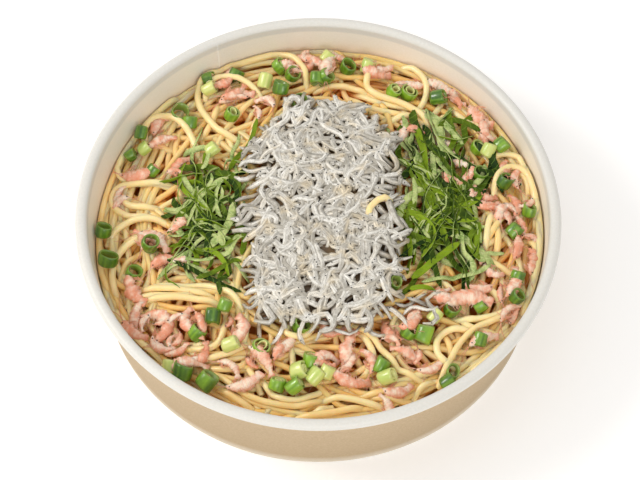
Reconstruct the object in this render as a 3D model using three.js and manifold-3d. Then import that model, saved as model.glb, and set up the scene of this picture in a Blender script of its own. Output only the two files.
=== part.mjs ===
// Spaghetti aglio e olio in a round paper bowl, topped with a band of whitebait, two drifts of
// shredded green leaf, small pink shrimps and chopped spring onion. Units are millimetres, +Z is up,
// and the origin is the middle of the bowl's foot, on the table.
import * as THREE from "three";
import { mergeVertices } from "three/addons/utils/BufferGeometryUtils.js";
import Module from "manifold-3d";

const wasm = await Module();
wasm.setup();

// ---------------------------------------------------------------- driving dimensions

const BOWL_HEIGHT = 46;
const RIM_RADIUS = 95;
const FOOT_RADIUS = 87;
const PAPER = 0.7; // thickness of the paperboard
const CURL_WIDE = 2.3; // half width of the rolled rim
const CURL_HIGH = 1.9; // half height of the rolled rim
const BASE_RECESS = 4.5; // the base disc sits this far above the table
const FOOT_FOLD = 1.8; // width of the folded paper ring that the bowl stands on
const FLOOR_ROUND = 1.5; // the wall turns into the base over this, inside
const BOWL_SIDES = 48;

const GAP = 0.45; // clear space between two solids that touch in the real dish
const TOUCHING = 0.32; // a piece that would come nearer than this to its neighbour is left out
const EDGE_HEIGHT = 27.5; // pasta where it meets the bowl's wall
const CROWN_HEIGHT = 35.5; // pasta in the middle
const LEAN = 4; // the heap lies higher on one side than the other by twice this
const LEAN_TOWARDS = 30; // degrees from +X

const NOODLE = 2.5; // diameter of a cooked strand
const NOODLE_SIDES = 5;
const NOODLE_STEP = 6;
const DUCK = 2.4; // under a topping and at both ends, a strand runs this far inside the core
const END_DIVE = 7; // length over which a strand's end dives into the core
const DUCK_FROM = 4.5; // a strand starts to duck this far from a topping
const DUCK_TO = 1.2; // and is fully under the heap's surface this far from it

const ONION_RADIUS = 3.2;
const ONION_WALL = 1;
const ONION_UPRIGHT = { length: 4.4, above: 1.6, tilt: 0.2 }; // a piece with its hole up
const ONION_LYING = { length: 6, above: 1.9 };

const radians = THREE.MathUtils.degToRad;
const { smoothstep, lerp } = THREE.MathUtils;

// ---------------------------------------------------------------- solids and booleans

// A closed three.js geometry as a solid that can be joined and cut.
function solidOf(geometry) {
  const plain = geometry.clone();
  plain.deleteAttribute("normal");
  plain.deleteAttribute("uv");
  const merged = mergeVertices(plain, 1e-4);
  return new wasm.Manifold(
    new wasm.Mesh({
      numProp: 3,
      vertProperties: new Float32Array(merged.attributes.position.array),
      triVerts: new Uint32Array(merged.index.array),
    }),
  );
}

// The largest piece of a solid as a three.js geometry, without loose scraps.
function geometryOf(solid) {
  const pieces = solid.decompose().sort((a, b) => b.volume() - a.volume());
  const mesh = pieces[0].getMesh();
  return new THREE.BufferGeometry()
    .setAttribute("position", new THREE.BufferAttribute(mesh.vertProperties, 3))
    .setIndex(new THREE.BufferAttribute(mesh.triVerts, 1));
}

const join = (solids) => solids.reduce((all, one) => all.add(one));

// Moves every vertex of a geometry by a rule (x, y, z) => [x, y, z].
function reshape(geometry, rule) {
  const position = geometry.attributes.position;
  for (let i = 0; i < position.count; i++)
    position.setXYZ(i, ...rule(position.getX(i), position.getY(i), position.getZ(i)));
  return geometry;
}

// A closed outline of [radius, height] pairs turned about +Z.
function turned(outline, sides) {
  const points = outline.map(([radius, height]) => new THREE.Vector2(radius, height));
  return new THREE.LatheGeometry(points, sides).rotateX(Math.PI / 2);
}

// A body of revolution along +X, from its [distance, radius] pairs.
function spindle(outline, sides) {
  const points = outline.map(([along, radius]) => new THREE.Vector2(radius, along));
  return new THREE.LatheGeometry(points, sides).rotateZ(-Math.PI / 2);
}

function mesh(name, geometry, color, roughness) {
  const material = new THREE.MeshStandardMaterial({ color, roughness, metalness: 0 });
  const made = new THREE.Mesh(geometry, material);
  made.name = name;
  return made;
}

// Seeded random numbers from 0 to 1, the same on every run.
function randomFrom(seed) {
  let state = seed;
  return () => {
    state = (state + 0x6d2b79f5) | 0;
    let mixed = Math.imul(state ^ (state >>> 15), 1 | state);
    mixed = (mixed + Math.imul(mixed ^ (mixed >>> 7), 61 | mixed)) ^ mixed;
    return ((mixed ^ (mixed >>> 14)) >>> 0) / 4294967296;
  };
}

// ---------------------------------------------------------------- bowl

const CURL_MIDDLE = [RIM_RADIUS - CURL_WIDE, BOWL_HEIGHT - CURL_HIGH];
const WALL_TOP = [CURL_MIDDLE[0] - CURL_WIDE + PAPER, CURL_MIDDLE[1]];

// Outside radius of the straight, flared wall at a height.
const wallRadius = (height) => lerp(FOOT_RADIUS, WALL_TOP[0], height / WALL_TOP[1]);
const insideRadius = (height) => wallRadius(height) - PAPER;

// Paperboard bowl: recessed base, folded foot ring, flared wall and a rim rolled outwards.
function bowl() {
  const floor = BASE_RECESS + PAPER;
  const bevel = 0.5;
  const curl = [];
  for (let angle = -135; angle <= 180; angle += 45)
    curl.push([
      CURL_MIDDLE[0] + CURL_WIDE * Math.cos(radians(angle)),
      CURL_MIDDLE[1] + CURL_HIGH * Math.sin(radians(angle)),
    ]);
  const outline = [
    [0, BASE_RECESS],
    [FOOT_RADIUS - FOOT_FOLD - PAPER / 2, BASE_RECESS],
    [FOOT_RADIUS - FOOT_FOLD, 0],
    [FOOT_RADIUS - bevel, 0],
    [wallRadius(bevel), bevel],
    ...curl,
    [insideRadius(floor + FLOOR_ROUND), floor + FLOOR_ROUND],
    [insideRadius(floor) - FLOOR_ROUND, floor],
    [0, floor],
  ];
  return turned(outline, BOWL_SIDES);
}

// ---------------------------------------------------------------- where the heap lies

// Height of the bare pasta core: a low dome that leans to one side.
function coreHeight(x, y) {
  const edge = insideRadius(EDGE_HEIGHT);
  const dome = (CROWN_HEIGHT - EDGE_HEIGHT) * (1 - (x * x + y * y) / edge ** 2);
  const side = x * Math.cos(radians(LEAN_TOWARDS)) + y * Math.sin(radians(LEAN_TOWARDS));
  return EDGE_HEIGHT + dome + (LEAN * side) / edge;
}

// The drifts of topping, as rounded rectangles seen from above: middle, half sizes and thickness.
const WHITEBAIT = { x: 1, y: 5, wide: 27.5, long: 49, thick: 6.2, edge: 1.8, fish: 33 };
const LEAVES = {
  left: { x: -44.8, y: 4, wide: 13, long: 35, thick: 3.2, edge: 1, strips: 10 },
  right: { x: 49.5, y: 10, wide: 15.5, long: 37, thick: 3.8, edge: 1, strips: 12 },
};
const SLOPE = 10; // a drift rises from its edge to its full thickness over this
const RAGGED = 0.05; // share by which a drift's half sizes vary round it, once slowly and once fast
const LUMP = { high: 0.6, wide: 21, long: 23 }; // height and wavelengths of a drift's lumps

// A drift's outline isn't smooth.
function raggedness(across, along) {
  const angle = Math.atan2(along, across);
  return 1 + RAGGED * (Math.sin(3 * angle + 1) + Math.sin(8 * angle));
}

// How far outside a drift's outline a point is, in millimetres; negative inside.
function outsideDrift(drift, x, y) {
  const across = (x - drift.x) / drift.wide;
  const along = (y - drift.y) / drift.long;
  const size = (across ** 4 + along ** 4) ** 0.25 / raggedness(across, along);
  return (size - 1) * Math.min(drift.wide, drift.long);
}

// Height of a drift's lumpy surface above the bare core, which it stays clear of.
function driftTop(drift, x, y) {
  const inside = -outsideDrift(drift, x, y);
  const wave = (place, wavelength) => Math.sin((2 * Math.PI * place) / wavelength);
  const lumps = LUMP.high * wave(x + 3.3, LUMP.wide) * wave(y, LUMP.long);
  return GAP + lerp(drift.edge, drift.thick + lumps, smoothstep(inside, 0, SLOPE));
}

// Shrimps where the dish has them: middle x, y, heading in degrees and body length.
const SHRIMP_PLACES = [
  [2, 77, 75, 15],
  [-13, 78, 155, 14],
  [-35, 64, 15, 16],
  [22, 73, -20, 14],
  [50, 68, -35, 16],
  [64, 52, -50, 15],
  [73, 7, -50, 16],
  [79, -10, 80, 12],
  [58, -33, 5, 20],
  [77, -27, 70, 15],
  [63, -50, 25, 13],
  [35, -56, 150, 14],
  [11, -55, 80, 18],
  [12, -69, -15, 17],
  [-20, -59, -50, 16],
  [-27, -70, 20, 16],
  [-50, -60, 5, 18],
  [-58, -46, 60, 14],
  [-44, -44, -75, 14],
  [-73, -28, -65, 17],
  [-64, -6, -35, 16],
  [-73, 24, 5, 17],
  [-65, 42, 30, 14],
  [-72, -46, -40, 14],
];
const SHRIMP_GIRTH = 4.4;
const SHRIMP_CURL = [-80, 95]; // degrees that a body bends over its length, by turns
const SHRIMP_FAN = { from: 0.38, flat: 0.35 }; // where the tail fan begins, and how flat it is
const SHRIMP_FLAT = 0.9; // and the body before it

// Distance from a shrimp's body line, less half its girth.
function outsideShrimp([x, y, heading, length], px, py) {
  const dx = Math.cos(radians(heading));
  const dy = Math.sin(radians(heading));
  const along = THREE.MathUtils.clamp((px - x) * dx + (py - y) * dy, -length / 2, length / 2);
  return Math.hypot(px - x - along * dx, py - y - along * dy) - SHRIMP_GIRTH / 2;
}

// Distance to the nearest topping that lies on the bare core.
const outsideToppings = (x, y) =>
  Math.min(
    outsideDrift(WHITEBAIT, x, y),
    outsideDrift(LEAVES.left, x, y),
    outsideDrift(LEAVES.right, x, y),
    ...SHRIMP_PLACES.map((place) => outsideShrimp(place, x, y)),
  );

// ---------------------------------------------------------------- toppings

// Lays a piece modelled along +X over the heap: it bends sideways by `turn` degrees over its length,
// and every part of it lies `above` the bare core.
function layOver(geometry, { x, y, heading, turn, length, above }) {
  const curve = radians(turn) / length;
  return reshape(geometry, (u, v, w) => {
    const half = (curve * u) / 2;
    const reach = half === 0 ? u : (u * Math.sin(half)) / half;
    const angle = radians(heading) + half;
    const facing = radians(heading) + curve * u;
    const px = x + reach * Math.cos(angle) - v * Math.sin(facing);
    const py = y + reach * Math.sin(angle) + v * Math.cos(facing);
    return [px, py, coreHeight(px, py) + above(px, py, u) + w];
  });
}

// A small boiled shrimp: head shield, tapering abdomen, narrow waist and a flat tail fan.
function shrimp([x, y, heading, length], index) {
  const girth = SHRIMP_GIRTH / 2;
  const body = [
    [-0.5, 0],
    [-0.4, 0.55],
    [-0.18, 1],
    [0.1, 0.85],
    [0.33, 0.4],
    [0.46, 0.75],
    [0.5, 0],
  ].map(([along, radius]) => [along * length, radius * girth]);
  const geometry = spindle(body, 5);
  const fanFrom = SHRIMP_FAN.from * length;
  reshape(geometry, (u, v, w) => [u, v, w * (u > fanFrom ? SHRIMP_FAN.flat : SHRIMP_FLAT)]);
  const turn = SHRIMP_CURL[index % 2];
  return layOver(geometry, { x, y, heading, turn, length, above: () => GAP + girth });
}

// The mound inside a drift of topping, its underside clear of the pasta core.
function mound(drift, columns, rows) {
  const geometry = new THREE.BoxGeometry(2, 2, 2, columns, rows, 1);
  return reshape(geometry, (u, v, w) => {
    const square = Math.max(Math.abs(u), Math.abs(v));
    const squash = (square * raggedness(u, v)) / Math.max((u ** 4 + v ** 4) ** 0.25, 1e-9);
    const x = drift.x + u * squash * drift.wide;
    const y = drift.y + v * squash * drift.long;
    return [x, y, coreHeight(x, y) + (w > 0 ? driftTop(drift, x, y) : GAP)];
  });
}

// Places spread evenly over a drift, from two irrational steps.
function* spread(drift, count, inset) {
  for (let i = 1; i <= count; i++) {
    const u = ((i * 0.7548776662) % 1) * 2 - 1;
    const v = ((i * 0.569840291) % 1) * 2 - 1;
    yield [drift.x + u * (drift.wide - inset), drift.y + v * (drift.long - inset)];
  }
}

// A whitebait: a slender fish, thickest behind its head and pointed at its tail.
function whitebaitFish(length, girth) {
  const outline = [
    [-0.5, 0],
    [-0.38, 0.9],
    [0.05, 0.75],
    [0.5, 0],
  ].map(([along, radius]) => [along * length, (radius * girth) / 2]);
  return spindle(outline, 5);
}

// The band of whitebait: a mound with the fish of its surface lying across it in all directions,
// 13 to 18 long and 2.1 to 2.8 thick, each a little bent and tilted.
function whitebait() {
  const random = randomFrom(11);
  const inset = 6;
  const solids = [solidOf(mound(WHITEBAIT, 6, 9))];
  for (const [x, y] of spread(WHITEBAIT, WHITEBAIT.fish, inset)) {
    const length = lerp(13, 18, random());
    const girth = lerp(2.1, 2.8, random());
    const heading = 180 * random();
    const turn = lerp(-55, 55, random());
    const tilt = lerp(-1.5, 1.5, random());
    const above = (px, py, u) =>
      Math.max(driftTop(WHITEBAIT, px, py) + 0.2, GAP + girth / 2) + Math.max(0, (tilt * u) / length);
    solids.push(solidOf(layOver(whitebaitFish(length, girth), { x, y, heading, turn, length, above })));
  }
  return join(solids);
}

// A drift of shredded leaf: a low mound with wavy strips lying over it, 19 to 28 long and 3 to 4.5
// wide, clear of the fish beside it.
function shreddedLeaf(drift, fish, seed) {
  const random = randomFrom(seed);
  const thickness = 0.7;
  const wavelength = 16;
  const solids = [solidOf(mound(drift, 4, 7))];
  const inset = 5;
  for (const [x, y] of spread(drift, drift.strips, inset)) {
    const length = lerp(19, 28, random());
    const width = lerp(3, 4.5, random());
    const heading = lerp(30, 150, random());
    const turn = lerp(-50, 50, random());
    const wave = lerp(0.6, 1.1, random());
    const phase = 6 * random();
    const strip = new THREE.BoxGeometry(length, width, thickness, 5, 1, 1);
    reshape(strip, (u, v, w) => [u, v * (1 - 0.75 * (2 * u / length) ** 4), w]);
    const above = (px, py, u) =>
      Math.max(driftTop(drift, px, py), GAP + thickness) + wave * (1 + Math.sin((2 * Math.PI * u) / wavelength + phase));
    const laid = solidOf(layOver(strip, { x, y, heading, turn, length, above }));
    if (laid.minGap(fish, 1) >= TOUCHING) solids.push(laid);
  }
  return join(solids);
}

// ---------------------------------------------------------------- pasta

// The inside of the heap, out to the bowl's wall and floor.
function pastaCore() {
  const floor = BASE_RECESS + PAPER + GAP;
  const outline = [[0, floor], [insideRadius(floor) - FLOOR_ROUND - GAP, floor]];
  outline.push([insideRadius(floor + FLOOR_ROUND) - GAP, floor + FLOOR_ROUND]);
  const edge = insideRadius(EDGE_HEIGHT - LEAN) - GAP;
  for (const share of [1, 0.8, 0.45, 0]) outline.push([edge * share, BOWL_HEIGHT]);
  const core = turned(outline, BOWL_SIDES);
  return reshape(core, (x, y, z) => [x, y, z === BOWL_HEIGHT ? coreHeight(x, y) : z]);
}

// Strands that show, each a bend with a straight run before and after it:
// middle x, y of the bend, radius, start angle, sweep, lead in, lead out, and how high it rides.
const STRANDS = [
  [0, 0, 82, 226, 78, 0, 0, 0.3],
  [0, 0, 84, 118, 62, 0, 0, 0.3],
  [0, 0, 84, -34, 68, 0, 0, 0.3],
  [0, 0, 84, 172, 48, 0, 0, 0.3],
  [4, 3, 80, 238, 68, 0, 0, 2.2],
  [3, 0, 78, -30, 58, 0, 0, 1.8],
  [-71, 8, 9.5, 90, 180, 22, 16, 2.2],
  [-62, -24, 18.5, 60, 150, 6, 10, 2.2],
  [-60, -25, 12, 60, 140, 8, 6, 0.3],
  [-60, 42, 11, 205, -255, 8, 14, 2.2],
  [-42, 57, 11, 235, -205, 18, 12, 2.2],
  [-40, 58, 15, 200, -190, 10, 14, 0.5],
  [-18, 68, 12, 165, -180, 16, 8, 1.8],
  [33, 66, 11, 260, -310, 8, 16, 1.8],
  [71, 27, 8.5, 235, -260, 4, 10, 1.8],
  [75, 15, 8, 200, -250, 4, 12, 0.3],
  [51, -52, 8.5, 60, 240, 16, 8, 0.5],
  [88, -82, 47, 105, 68, 0, 0, 2.6],
  [-7, -49, 10, 185, 170, 0, 4, 1.8],
  [62, 0, 68, 224, 32, 0, 0, 1.4],
  [-48, -48, 17, 140, -120, 12, 8, 2.2],
];

// The centre line of one strand. It rides on the core, ducks into it under toppings and at both
// ends, and stays inside the bowl's wall.
class StrandLine extends THREE.Curve {
  constructor([x, y, radius, start, sweep, leadIn, leadOut, rise]) {
    super();
    this.bend = { x, y, radius, start: radians(start), sweep: radians(sweep), leadIn, leadOut };
    this.rise = rise;
    this.arc = Math.abs(this.bend.sweep) * radius;
    this.full = leadIn + this.arc + leadOut;
  }

  plan(distance) {
    const { x, y, radius, start, sweep, leadIn } = this.bend;
    const onArc = THREE.MathUtils.clamp(distance - leadIn, 0, this.arc);
    const way = Math.sign(sweep);
    const angle = start + (way * onArc) / radius;
    const beyond = distance - leadIn - onArc;
    return [
      x + radius * Math.cos(angle) - way * beyond * Math.sin(angle),
      y + radius * Math.sin(angle) + way * beyond * Math.cos(angle),
    ];
  }

  getPoint(t, target = new THREE.Vector3()) {
    const [x, y] = this.plan(t * this.full);
    const fromEnd = Math.min(t, 1 - t) * this.full;
    const clear = smoothstep(outsideToppings(x, y), DUCK_TO, DUCK_FROM);
    const shown = smoothstep(fromEnd, 0, END_DIVE) * clear;
    const height = coreHeight(x, y) + lerp(-DUCK, NOODLE / 2 + this.rise, shown);
    const limit = insideRadius(height - NOODLE / 2) - NOODLE / 2 - GAP;
    const shrink = Math.min(1, limit / Math.hypot(x, y));
    return target.set(x * shrink, y * shrink, height);
  }
}

function strand(row) {
  const line = new StrandLine(row);
  const section = new THREE.Shape();
  for (let i = 0; i < NOODLE_SIDES; i++) {
    const angle = (2 * Math.PI * i) / NOODLE_SIDES;
    const point = [(NOODLE / 2) * Math.cos(angle), (NOODLE / 2) * Math.sin(angle)];
    if (i === 0) section.moveTo(...point);
    else section.lineTo(...point);
  }
  const steps = Math.max(6, Math.round(line.full / NOODLE_STEP));
  return new THREE.ExtrudeGeometry(section, { steps, extrudePath: line });
}

// Chopped spring onion, fused to the pasta: x, y, heading, and whether it stands with its hole up.
const ONION_PLACES = [
  [-51, 51, 0, true],
  [-75, 36, 60, false],
  [-27, 71, 20, false],
  [-6, 69, 0, true],
  [12, 68, 30, false],
  [39, 76, 0, true],
  [47, 59, 0, false],
  [72, 40, 70, true],
  [84, 2, 80, false],
  [71, -17, 0, true],
  [50, -41, 0, true],
  [68, -40, 40, false],
  [41, -50, 90, false],
  [50, -68, 0, true],
  [27, -66, 20, false],
  [-4, -66, 15, false],
  [-8, -50, 0, true],
  [-36, -55, 0, true],
  [-67, -38, 0, true],
  [-83, -14, 0, true],
  [-61, -20, 0, true],
];

function onionPiece([x, y, heading, upright]) {
  const { length, above } = upright ? ONION_UPRIGHT : ONION_LYING;
  const half = length / 2;
  const hole = ONION_RADIUS - ONION_WALL;
  const outline = [
    [hole, -half],
    [ONION_RADIUS, -half],
    [ONION_RADIUS, half],
    [hole, half],
    [hole, -half],
  ];
  const piece = turned(outline, 6);
  if (upright) piece.rotateX(ONION_UPRIGHT.tilt);
  else piece.rotateY(Math.PI / 2);
  return piece.rotateZ(radians(heading)).translate(x, y, coreHeight(x, y) + above);
}

// The whole heap: core, strands and onion as one piece, without the pieces that come too near the
// bowl or a topping.
function pasta(neighbours) {
  const clear = (piece) => neighbours.every((other) => piece.minGap(other, 1) >= TOUCHING);
  const strands = STRANDS.map((row) => solidOf(strand(row)));
  const onions = ONION_PLACES.map((place) => solidOf(onionPiece(place)));
  const kept = [...strands, ...onions].filter(clear);
  return join([solidOf(pastaCore()), ...kept]);
}

// ---------------------------------------------------------------- the dish

const shrimpNames = SHRIMP_PLACES.map((_, i) => `shrimp_${String(i + 1).padStart(2, "0")}`);
const shrimpGeometries = SHRIMP_PLACES.map(shrimp);
const whitebaitSolid = whitebait();
const leafSolids = {
  left: shreddedLeaf(LEAVES.left, whitebaitSolid, 5),
  right: shreddedLeaf(LEAVES.right, whitebaitSolid, 8),
};
const bowlGeometry = bowl();
const neighbours = [
  solidOf(bowlGeometry),
  whitebaitSolid,
  leafSolids.left,
  leafSolids.right,
  ...shrimpGeometries.map(solidOf),
];

const dish = new THREE.Group();
dish.add(mesh("bowl", bowlGeometry, 0xe9e4d8, 0.6));
dish.add(mesh("pasta", geometryOf(pasta(neighbours)), 0xe8c98a, 0.4));
dish.add(mesh("whitebait", geometryOf(whitebaitSolid), 0xd9d6d0, 0.5));
dish.add(mesh("leaf_left", geometryOf(leafSolids.left), 0x5f8f3f, 0.6));
dish.add(mesh("leaf_right", geometryOf(leafSolids.right), 0x5f8f3f, 0.6));
shrimpGeometries.forEach((geometry, i) => dish.add(mesh(shrimpNames[i], geometry, 0xe59a86, 0.5)));

export default dish;
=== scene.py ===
"""Spaghetti aglio e olio in a round paper bowl, topped with whitebait, shredded green leaf, small
pink shrimps and chopped spring onion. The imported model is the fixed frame: the bowl and each part
of the food are built where it says, from the bowl upwards, in the order in which the dish is
filled. Lengths are metres, +Z is up, and the viewer stands at -Y."""

import bpy
import numpy as np
from mathutils import Matrix, Vector


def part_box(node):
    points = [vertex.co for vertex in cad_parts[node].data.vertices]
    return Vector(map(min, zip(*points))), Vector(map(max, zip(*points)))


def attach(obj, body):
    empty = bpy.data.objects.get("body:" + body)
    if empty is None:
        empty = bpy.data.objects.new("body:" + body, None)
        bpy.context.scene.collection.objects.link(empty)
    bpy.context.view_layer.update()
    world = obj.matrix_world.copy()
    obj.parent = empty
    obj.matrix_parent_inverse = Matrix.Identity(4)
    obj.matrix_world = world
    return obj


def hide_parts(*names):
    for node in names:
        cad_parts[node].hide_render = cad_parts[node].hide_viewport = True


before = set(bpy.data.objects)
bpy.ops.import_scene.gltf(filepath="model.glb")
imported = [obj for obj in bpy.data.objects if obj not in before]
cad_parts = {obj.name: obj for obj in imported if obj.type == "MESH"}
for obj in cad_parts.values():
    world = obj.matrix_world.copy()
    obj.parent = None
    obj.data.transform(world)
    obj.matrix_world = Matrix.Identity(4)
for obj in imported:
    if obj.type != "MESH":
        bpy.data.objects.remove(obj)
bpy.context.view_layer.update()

# ---------------------------------------------------------------- camera
# The photograph looks down on the dish at 58 degrees through a long lens. Everything that is placed
# from the photograph is given in its pixels and brought onto the heap by this same camera.

PHOTO_SIZE = np.array([640.0, 480.0])
FOCAL_PIXELS = 2067.0
VIEW_ELEVATION = np.radians(58.45)
VIEW_DISTANCE = 0.8
VIEW_TARGET = np.array([0.0007, -0.0141, 0.0461])
VIEW_ROLL = np.radians(0.67)

view_forward = np.array([0.0, np.cos(VIEW_ELEVATION), -np.sin(VIEW_ELEVATION)])
level_up = np.array([0.0, np.sin(VIEW_ELEVATION), np.cos(VIEW_ELEVATION)])
level_right = np.array([1.0, 0.0, 0.0])
view_right = level_right * np.cos(VIEW_ROLL) + level_up * np.sin(VIEW_ROLL)
view_up = level_up * np.cos(VIEW_ROLL) - level_right * np.sin(VIEW_ROLL)
eye = VIEW_TARGET - view_forward * VIEW_DISTANCE

camera_data = bpy.data.cameras.new("camera")
camera_data.sensor_width = 36.0
camera_data.lens = FOCAL_PIXELS * camera_data.sensor_width / PHOTO_SIZE[0]
camera = bpy.data.objects.new("camera", camera_data)
camera.matrix_world = Matrix.Translation(Vector(eye)) @ Matrix(
    np.stack([view_right, view_up, -view_forward], axis=1).tolist()
).to_4x4()
bpy.context.scene.collection.objects.link(camera)
bpy.context.scene.camera = camera


def from_photo(pixels, height):
    """Where the lines of sight through pixels of the photograph meet a surface z = height(x, y):
    the point is eye + ray * distance, and distance is corrected four times to reach that height."""
    offset = (np.asarray(pixels, float) - PHOTO_SIZE / 2) / FOCAL_PIXELS
    ray = view_forward + offset[..., :1] * view_right - offset[..., 1:] * view_up
    reach = np.full(ray.shape[:-1] + (1,), 0.04)
    for _ in range(4):
        point = eye + ray * (reach - eye[2]) / ray[..., 2:]
        reach = height(point[..., 0], point[..., 1])[..., None]
    return point[..., :2]


# ---------------------------------------------------------------- light and floor
# A white table in a bright, soft studio: light from the whole sky, with one broad lamp above and
# behind the dish and a weaker one in front of it.

SKY = 0.76
LAMPS = [  # place, side, watts
    ((-0.90, 0.10, 0.80), 0.4, 5.8),
    ((0.20, -1.15, 0.75), 0.6, 4.5),
]
LAMPS_AIM_AT = (0, 0, 0.03)

world = bpy.data.worlds.new("studio")
world.use_nodes = True
world.node_tree.nodes["Background"].inputs["Color"].default_value = (1.0, 0.99, 0.975, 1.0)
world.node_tree.nodes["Background"].inputs["Strength"].default_value = SKY
bpy.context.scene.world = world
bpy.context.scene.view_settings.view_transform = "Standard"
bpy.context.scene.view_settings.look = "None"

for number, (place, side, watts) in enumerate(LAMPS):
    lamp_data = bpy.data.lights.new(f"lamp_{number}", "AREA")
    lamp_data.size = side
    lamp_data.energy = watts
    lamp_data.color = (1.0, 0.97, 0.93)
    lamp = bpy.data.objects.new(f"lamp_{number}", lamp_data)
    lamp.location = place
    aim = Vector(LAMPS_AIM_AT) - Vector(place)
    lamp.rotation_euler = aim.to_track_quat("-Z", "Y").to_euler()
    bpy.context.scene.collection.objects.link(lamp)


class Value:
    """A shader socket that arithmetic works on: a + b, a - b, a * b, a / b and a ** b, also with a
    plain number on either side, each add one Math node. node() adds any other node."""

    def __init__(self, tree, socket):
        self.tree = tree
        self.socket = socket

    def node(self, kind, settings=None, inputs=None, output=0):
        """Adds a node of that type, makes its settings, links or fills its sockets by name or
        number, and returns the socket of that output."""
        made = self.tree.nodes.new(kind)
        for name, setting in (settings or {}).items():
            setattr(made, name, setting)
        for name, value in (inputs or {}).items():
            if isinstance(value, Value):
                self.tree.links.new(value.socket, made.inputs[name])
            else:
                made.inputs[name].default_value = value
        return Value(self.tree, made.outputs[output])

    def math(self, operation, *values):
        """One Math node on those values."""
        return self.node("ShaderNodeMath", {"operation": operation}, dict(enumerate(values)))

    def __add__(self, other):
        return self.math("ADD", self, other)

    def __sub__(self, other):
        return self.math("SUBTRACT", self, other)

    def __mul__(self, other):
        return self.math("MULTIPLY", self, other)

    def __truediv__(self, other):
        return self.math("DIVIDE", self, other)

    def __pow__(self, other):
        return self.math("POWER", self, other)

    def __rsub__(self, other):
        return self.math("SUBTRACT", other, self)

    __radd__ = __add__
    __rmul__ = __mul__

    def applied(self, operation):
        """One Math function of this value, such as its sine."""
        return self.math(operation, self)

    def between(self, low, high):
        """0 below low, 1 above high, and smooth from one to the other."""
        return self.node(
            "ShaderNodeMapRange", {"interpolation_type": "SMOOTHSTEP"}, {0: self, 1: low, 2: high}
        )

    def blend(self, first, second):
        """The first colour where this is 0 and the second where it is 1."""
        return self.node(
            "ShaderNodeMix", {"data_type": "RGBA"}, {0: self, 6: first, 7: second}, output=2
        )


class Material(Value):
    """A new Principled material. surface is its shader node, and self is its Object coordinates."""

    def __init__(self, name, **constants):
        self.made = bpy.data.materials.new(name)
        self.made.use_nodes = True
        tree = self.made.node_tree
        self.surface = tree.nodes["Principled BSDF"]
        super().__init__(tree, tree.nodes.new("ShaderNodeTexCoord").outputs["Object"])
        for socket, value in constants.items():
            self.surface.inputs[socket.replace("_", " ")].default_value = value

    def noise(self, size, detail=3.0, stretch=(1.0, 1.0, 1.0)):
        """Soft noise from 0 to 1 whose patches are about that many metres across."""
        scaled = self.node(
            "ShaderNodeVectorMath", {"operation": "MULTIPLY"}, {0: self, 1: stretch}
        )
        return self.node(
            "ShaderNodeTexNoise", None, {"Vector": scaled, "Scale": 1 / size, "Detail": detail}
        )

    def attribute(self, name):
        """The numbers that a piece holds under that name, one per corner."""
        return self.node("ShaderNodeAttribute", {"attribute_name": name}, None, "Fac")

    def drive(self, **sockets):
        """Links what varies over the surface to the Principled shader's sockets."""
        for socket, value in sockets.items():
            self.tree.links.new(value.socket, self.surface.inputs[socket.replace("_", " ")])

    def bump(self, height, depth):
        """Relief of that depth in metres from a height of 0 to 1."""
        inputs = {"Height": height, "Distance": depth}
        self.drive(Normal=self.node("ShaderNodeBump", None, inputs, "Normal"))


def colour(red, green, blue):
    """A colour as the eye sees it, 0 to 255 for each primary, as the shader's linear colour."""
    seen = np.array([red, green, blue]) / 255.0
    return (*np.where(seen <= 0.04045, seen / 12.92, ((seen + 0.055) / 1.055) ** 2.4), 1.0)


def mesh_piece(name, corners, faces, material, slot, replaced=(), **attributes):
    """An object from an array of corners and one of faces, smooth, riding on the root body when it
    has a slot, with one number per corner for each attribute."""
    mesh = bpy.data.meshes.new(name)
    mesh.vertices.add(len(corners))
    mesh.vertices.foreach_set("co", np.ascontiguousarray(corners, np.float32).ravel())
    mesh.loops.add(faces.size)
    mesh.loops.foreach_set("vertex_index", np.ascontiguousarray(faces, np.int32).ravel())
    mesh.polygons.add(len(faces))
    starts = np.arange(0, faces.size, faces.shape[1], dtype=np.int32)
    mesh.polygons.foreach_set("loop_start", starts)
    mesh.update(calc_edges=True)
    mesh.shade_smooth()
    for label, values in attributes.items():
        data = mesh.attributes.new(label, "FLOAT", "POINT").data
        data.foreach_set("value", np.ascontiguousarray(values, np.float32).ravel())
    mesh.materials.append(material.made)
    piece = bpy.data.objects.new(name, mesh)
    bpy.context.scene.collection.objects.link(piece)
    if slot:
        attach(piece, "root")
    if replaced:
        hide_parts(*replaced)
    return piece


FLOOR_SIDE = 6.0
floor_paint = Material(
    "white_table", Base_Color=colour(254, 254, 254), Roughness=0.7,
    Emission_Color=colour(255, 255, 255), Emission_Strength=0.12,
)
floor_paint.bump(floor_paint.noise(0.004), 0.00005)
half = FLOOR_SIDE / 2
floor = mesh_piece(
    "floor",
    np.array([[-half, -half, 0], [half, -half, 0], [half, half, 0], [-half, half, 0]]),
    np.array([[0, 1, 2, 3]]),
    floor_paint,
    slot=None,
)

# ---------------------------------------------------------------- paper bowl
# A moulded take-away bowl: a wall of brown paperboard with a white lining, lapped at one seam and
# folded in round a recessed base disc, with its top edge rolled outwards, lining outermost.

_, bowl_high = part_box("bowl")
RIM_RADIUS = bowl_high.x
RIM_HEIGHT = bowl_high.z
FOOT_RADIUS = 0.087
PAPER = 0.0007
CURL = np.array([0.0023, 0.0019])  # half width and half height of the rolled rim
BASE_HEIGHT = 0.0045
FOOT_FOLD = 0.0018
ROUND_STEPS = 180
SEAM_AT = np.radians(118)
SEAM_LAP = 0.007
SEAM_STEP = 0.0003  # how far the lapped edge stands out
SEAM_TOP = 0.041
OIL_AND_GLOW_LINE = 0.0272  # height of the heap's edge in the middle
OIL_AND_GLOW_LEAN = 0.004
OIL_AND_GLOW_FADE = 0.0014
OIL_AND_GLOW_TOP = 0.0265
OIL_AND_GLOW_TOP_FADE = 0.004

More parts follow.
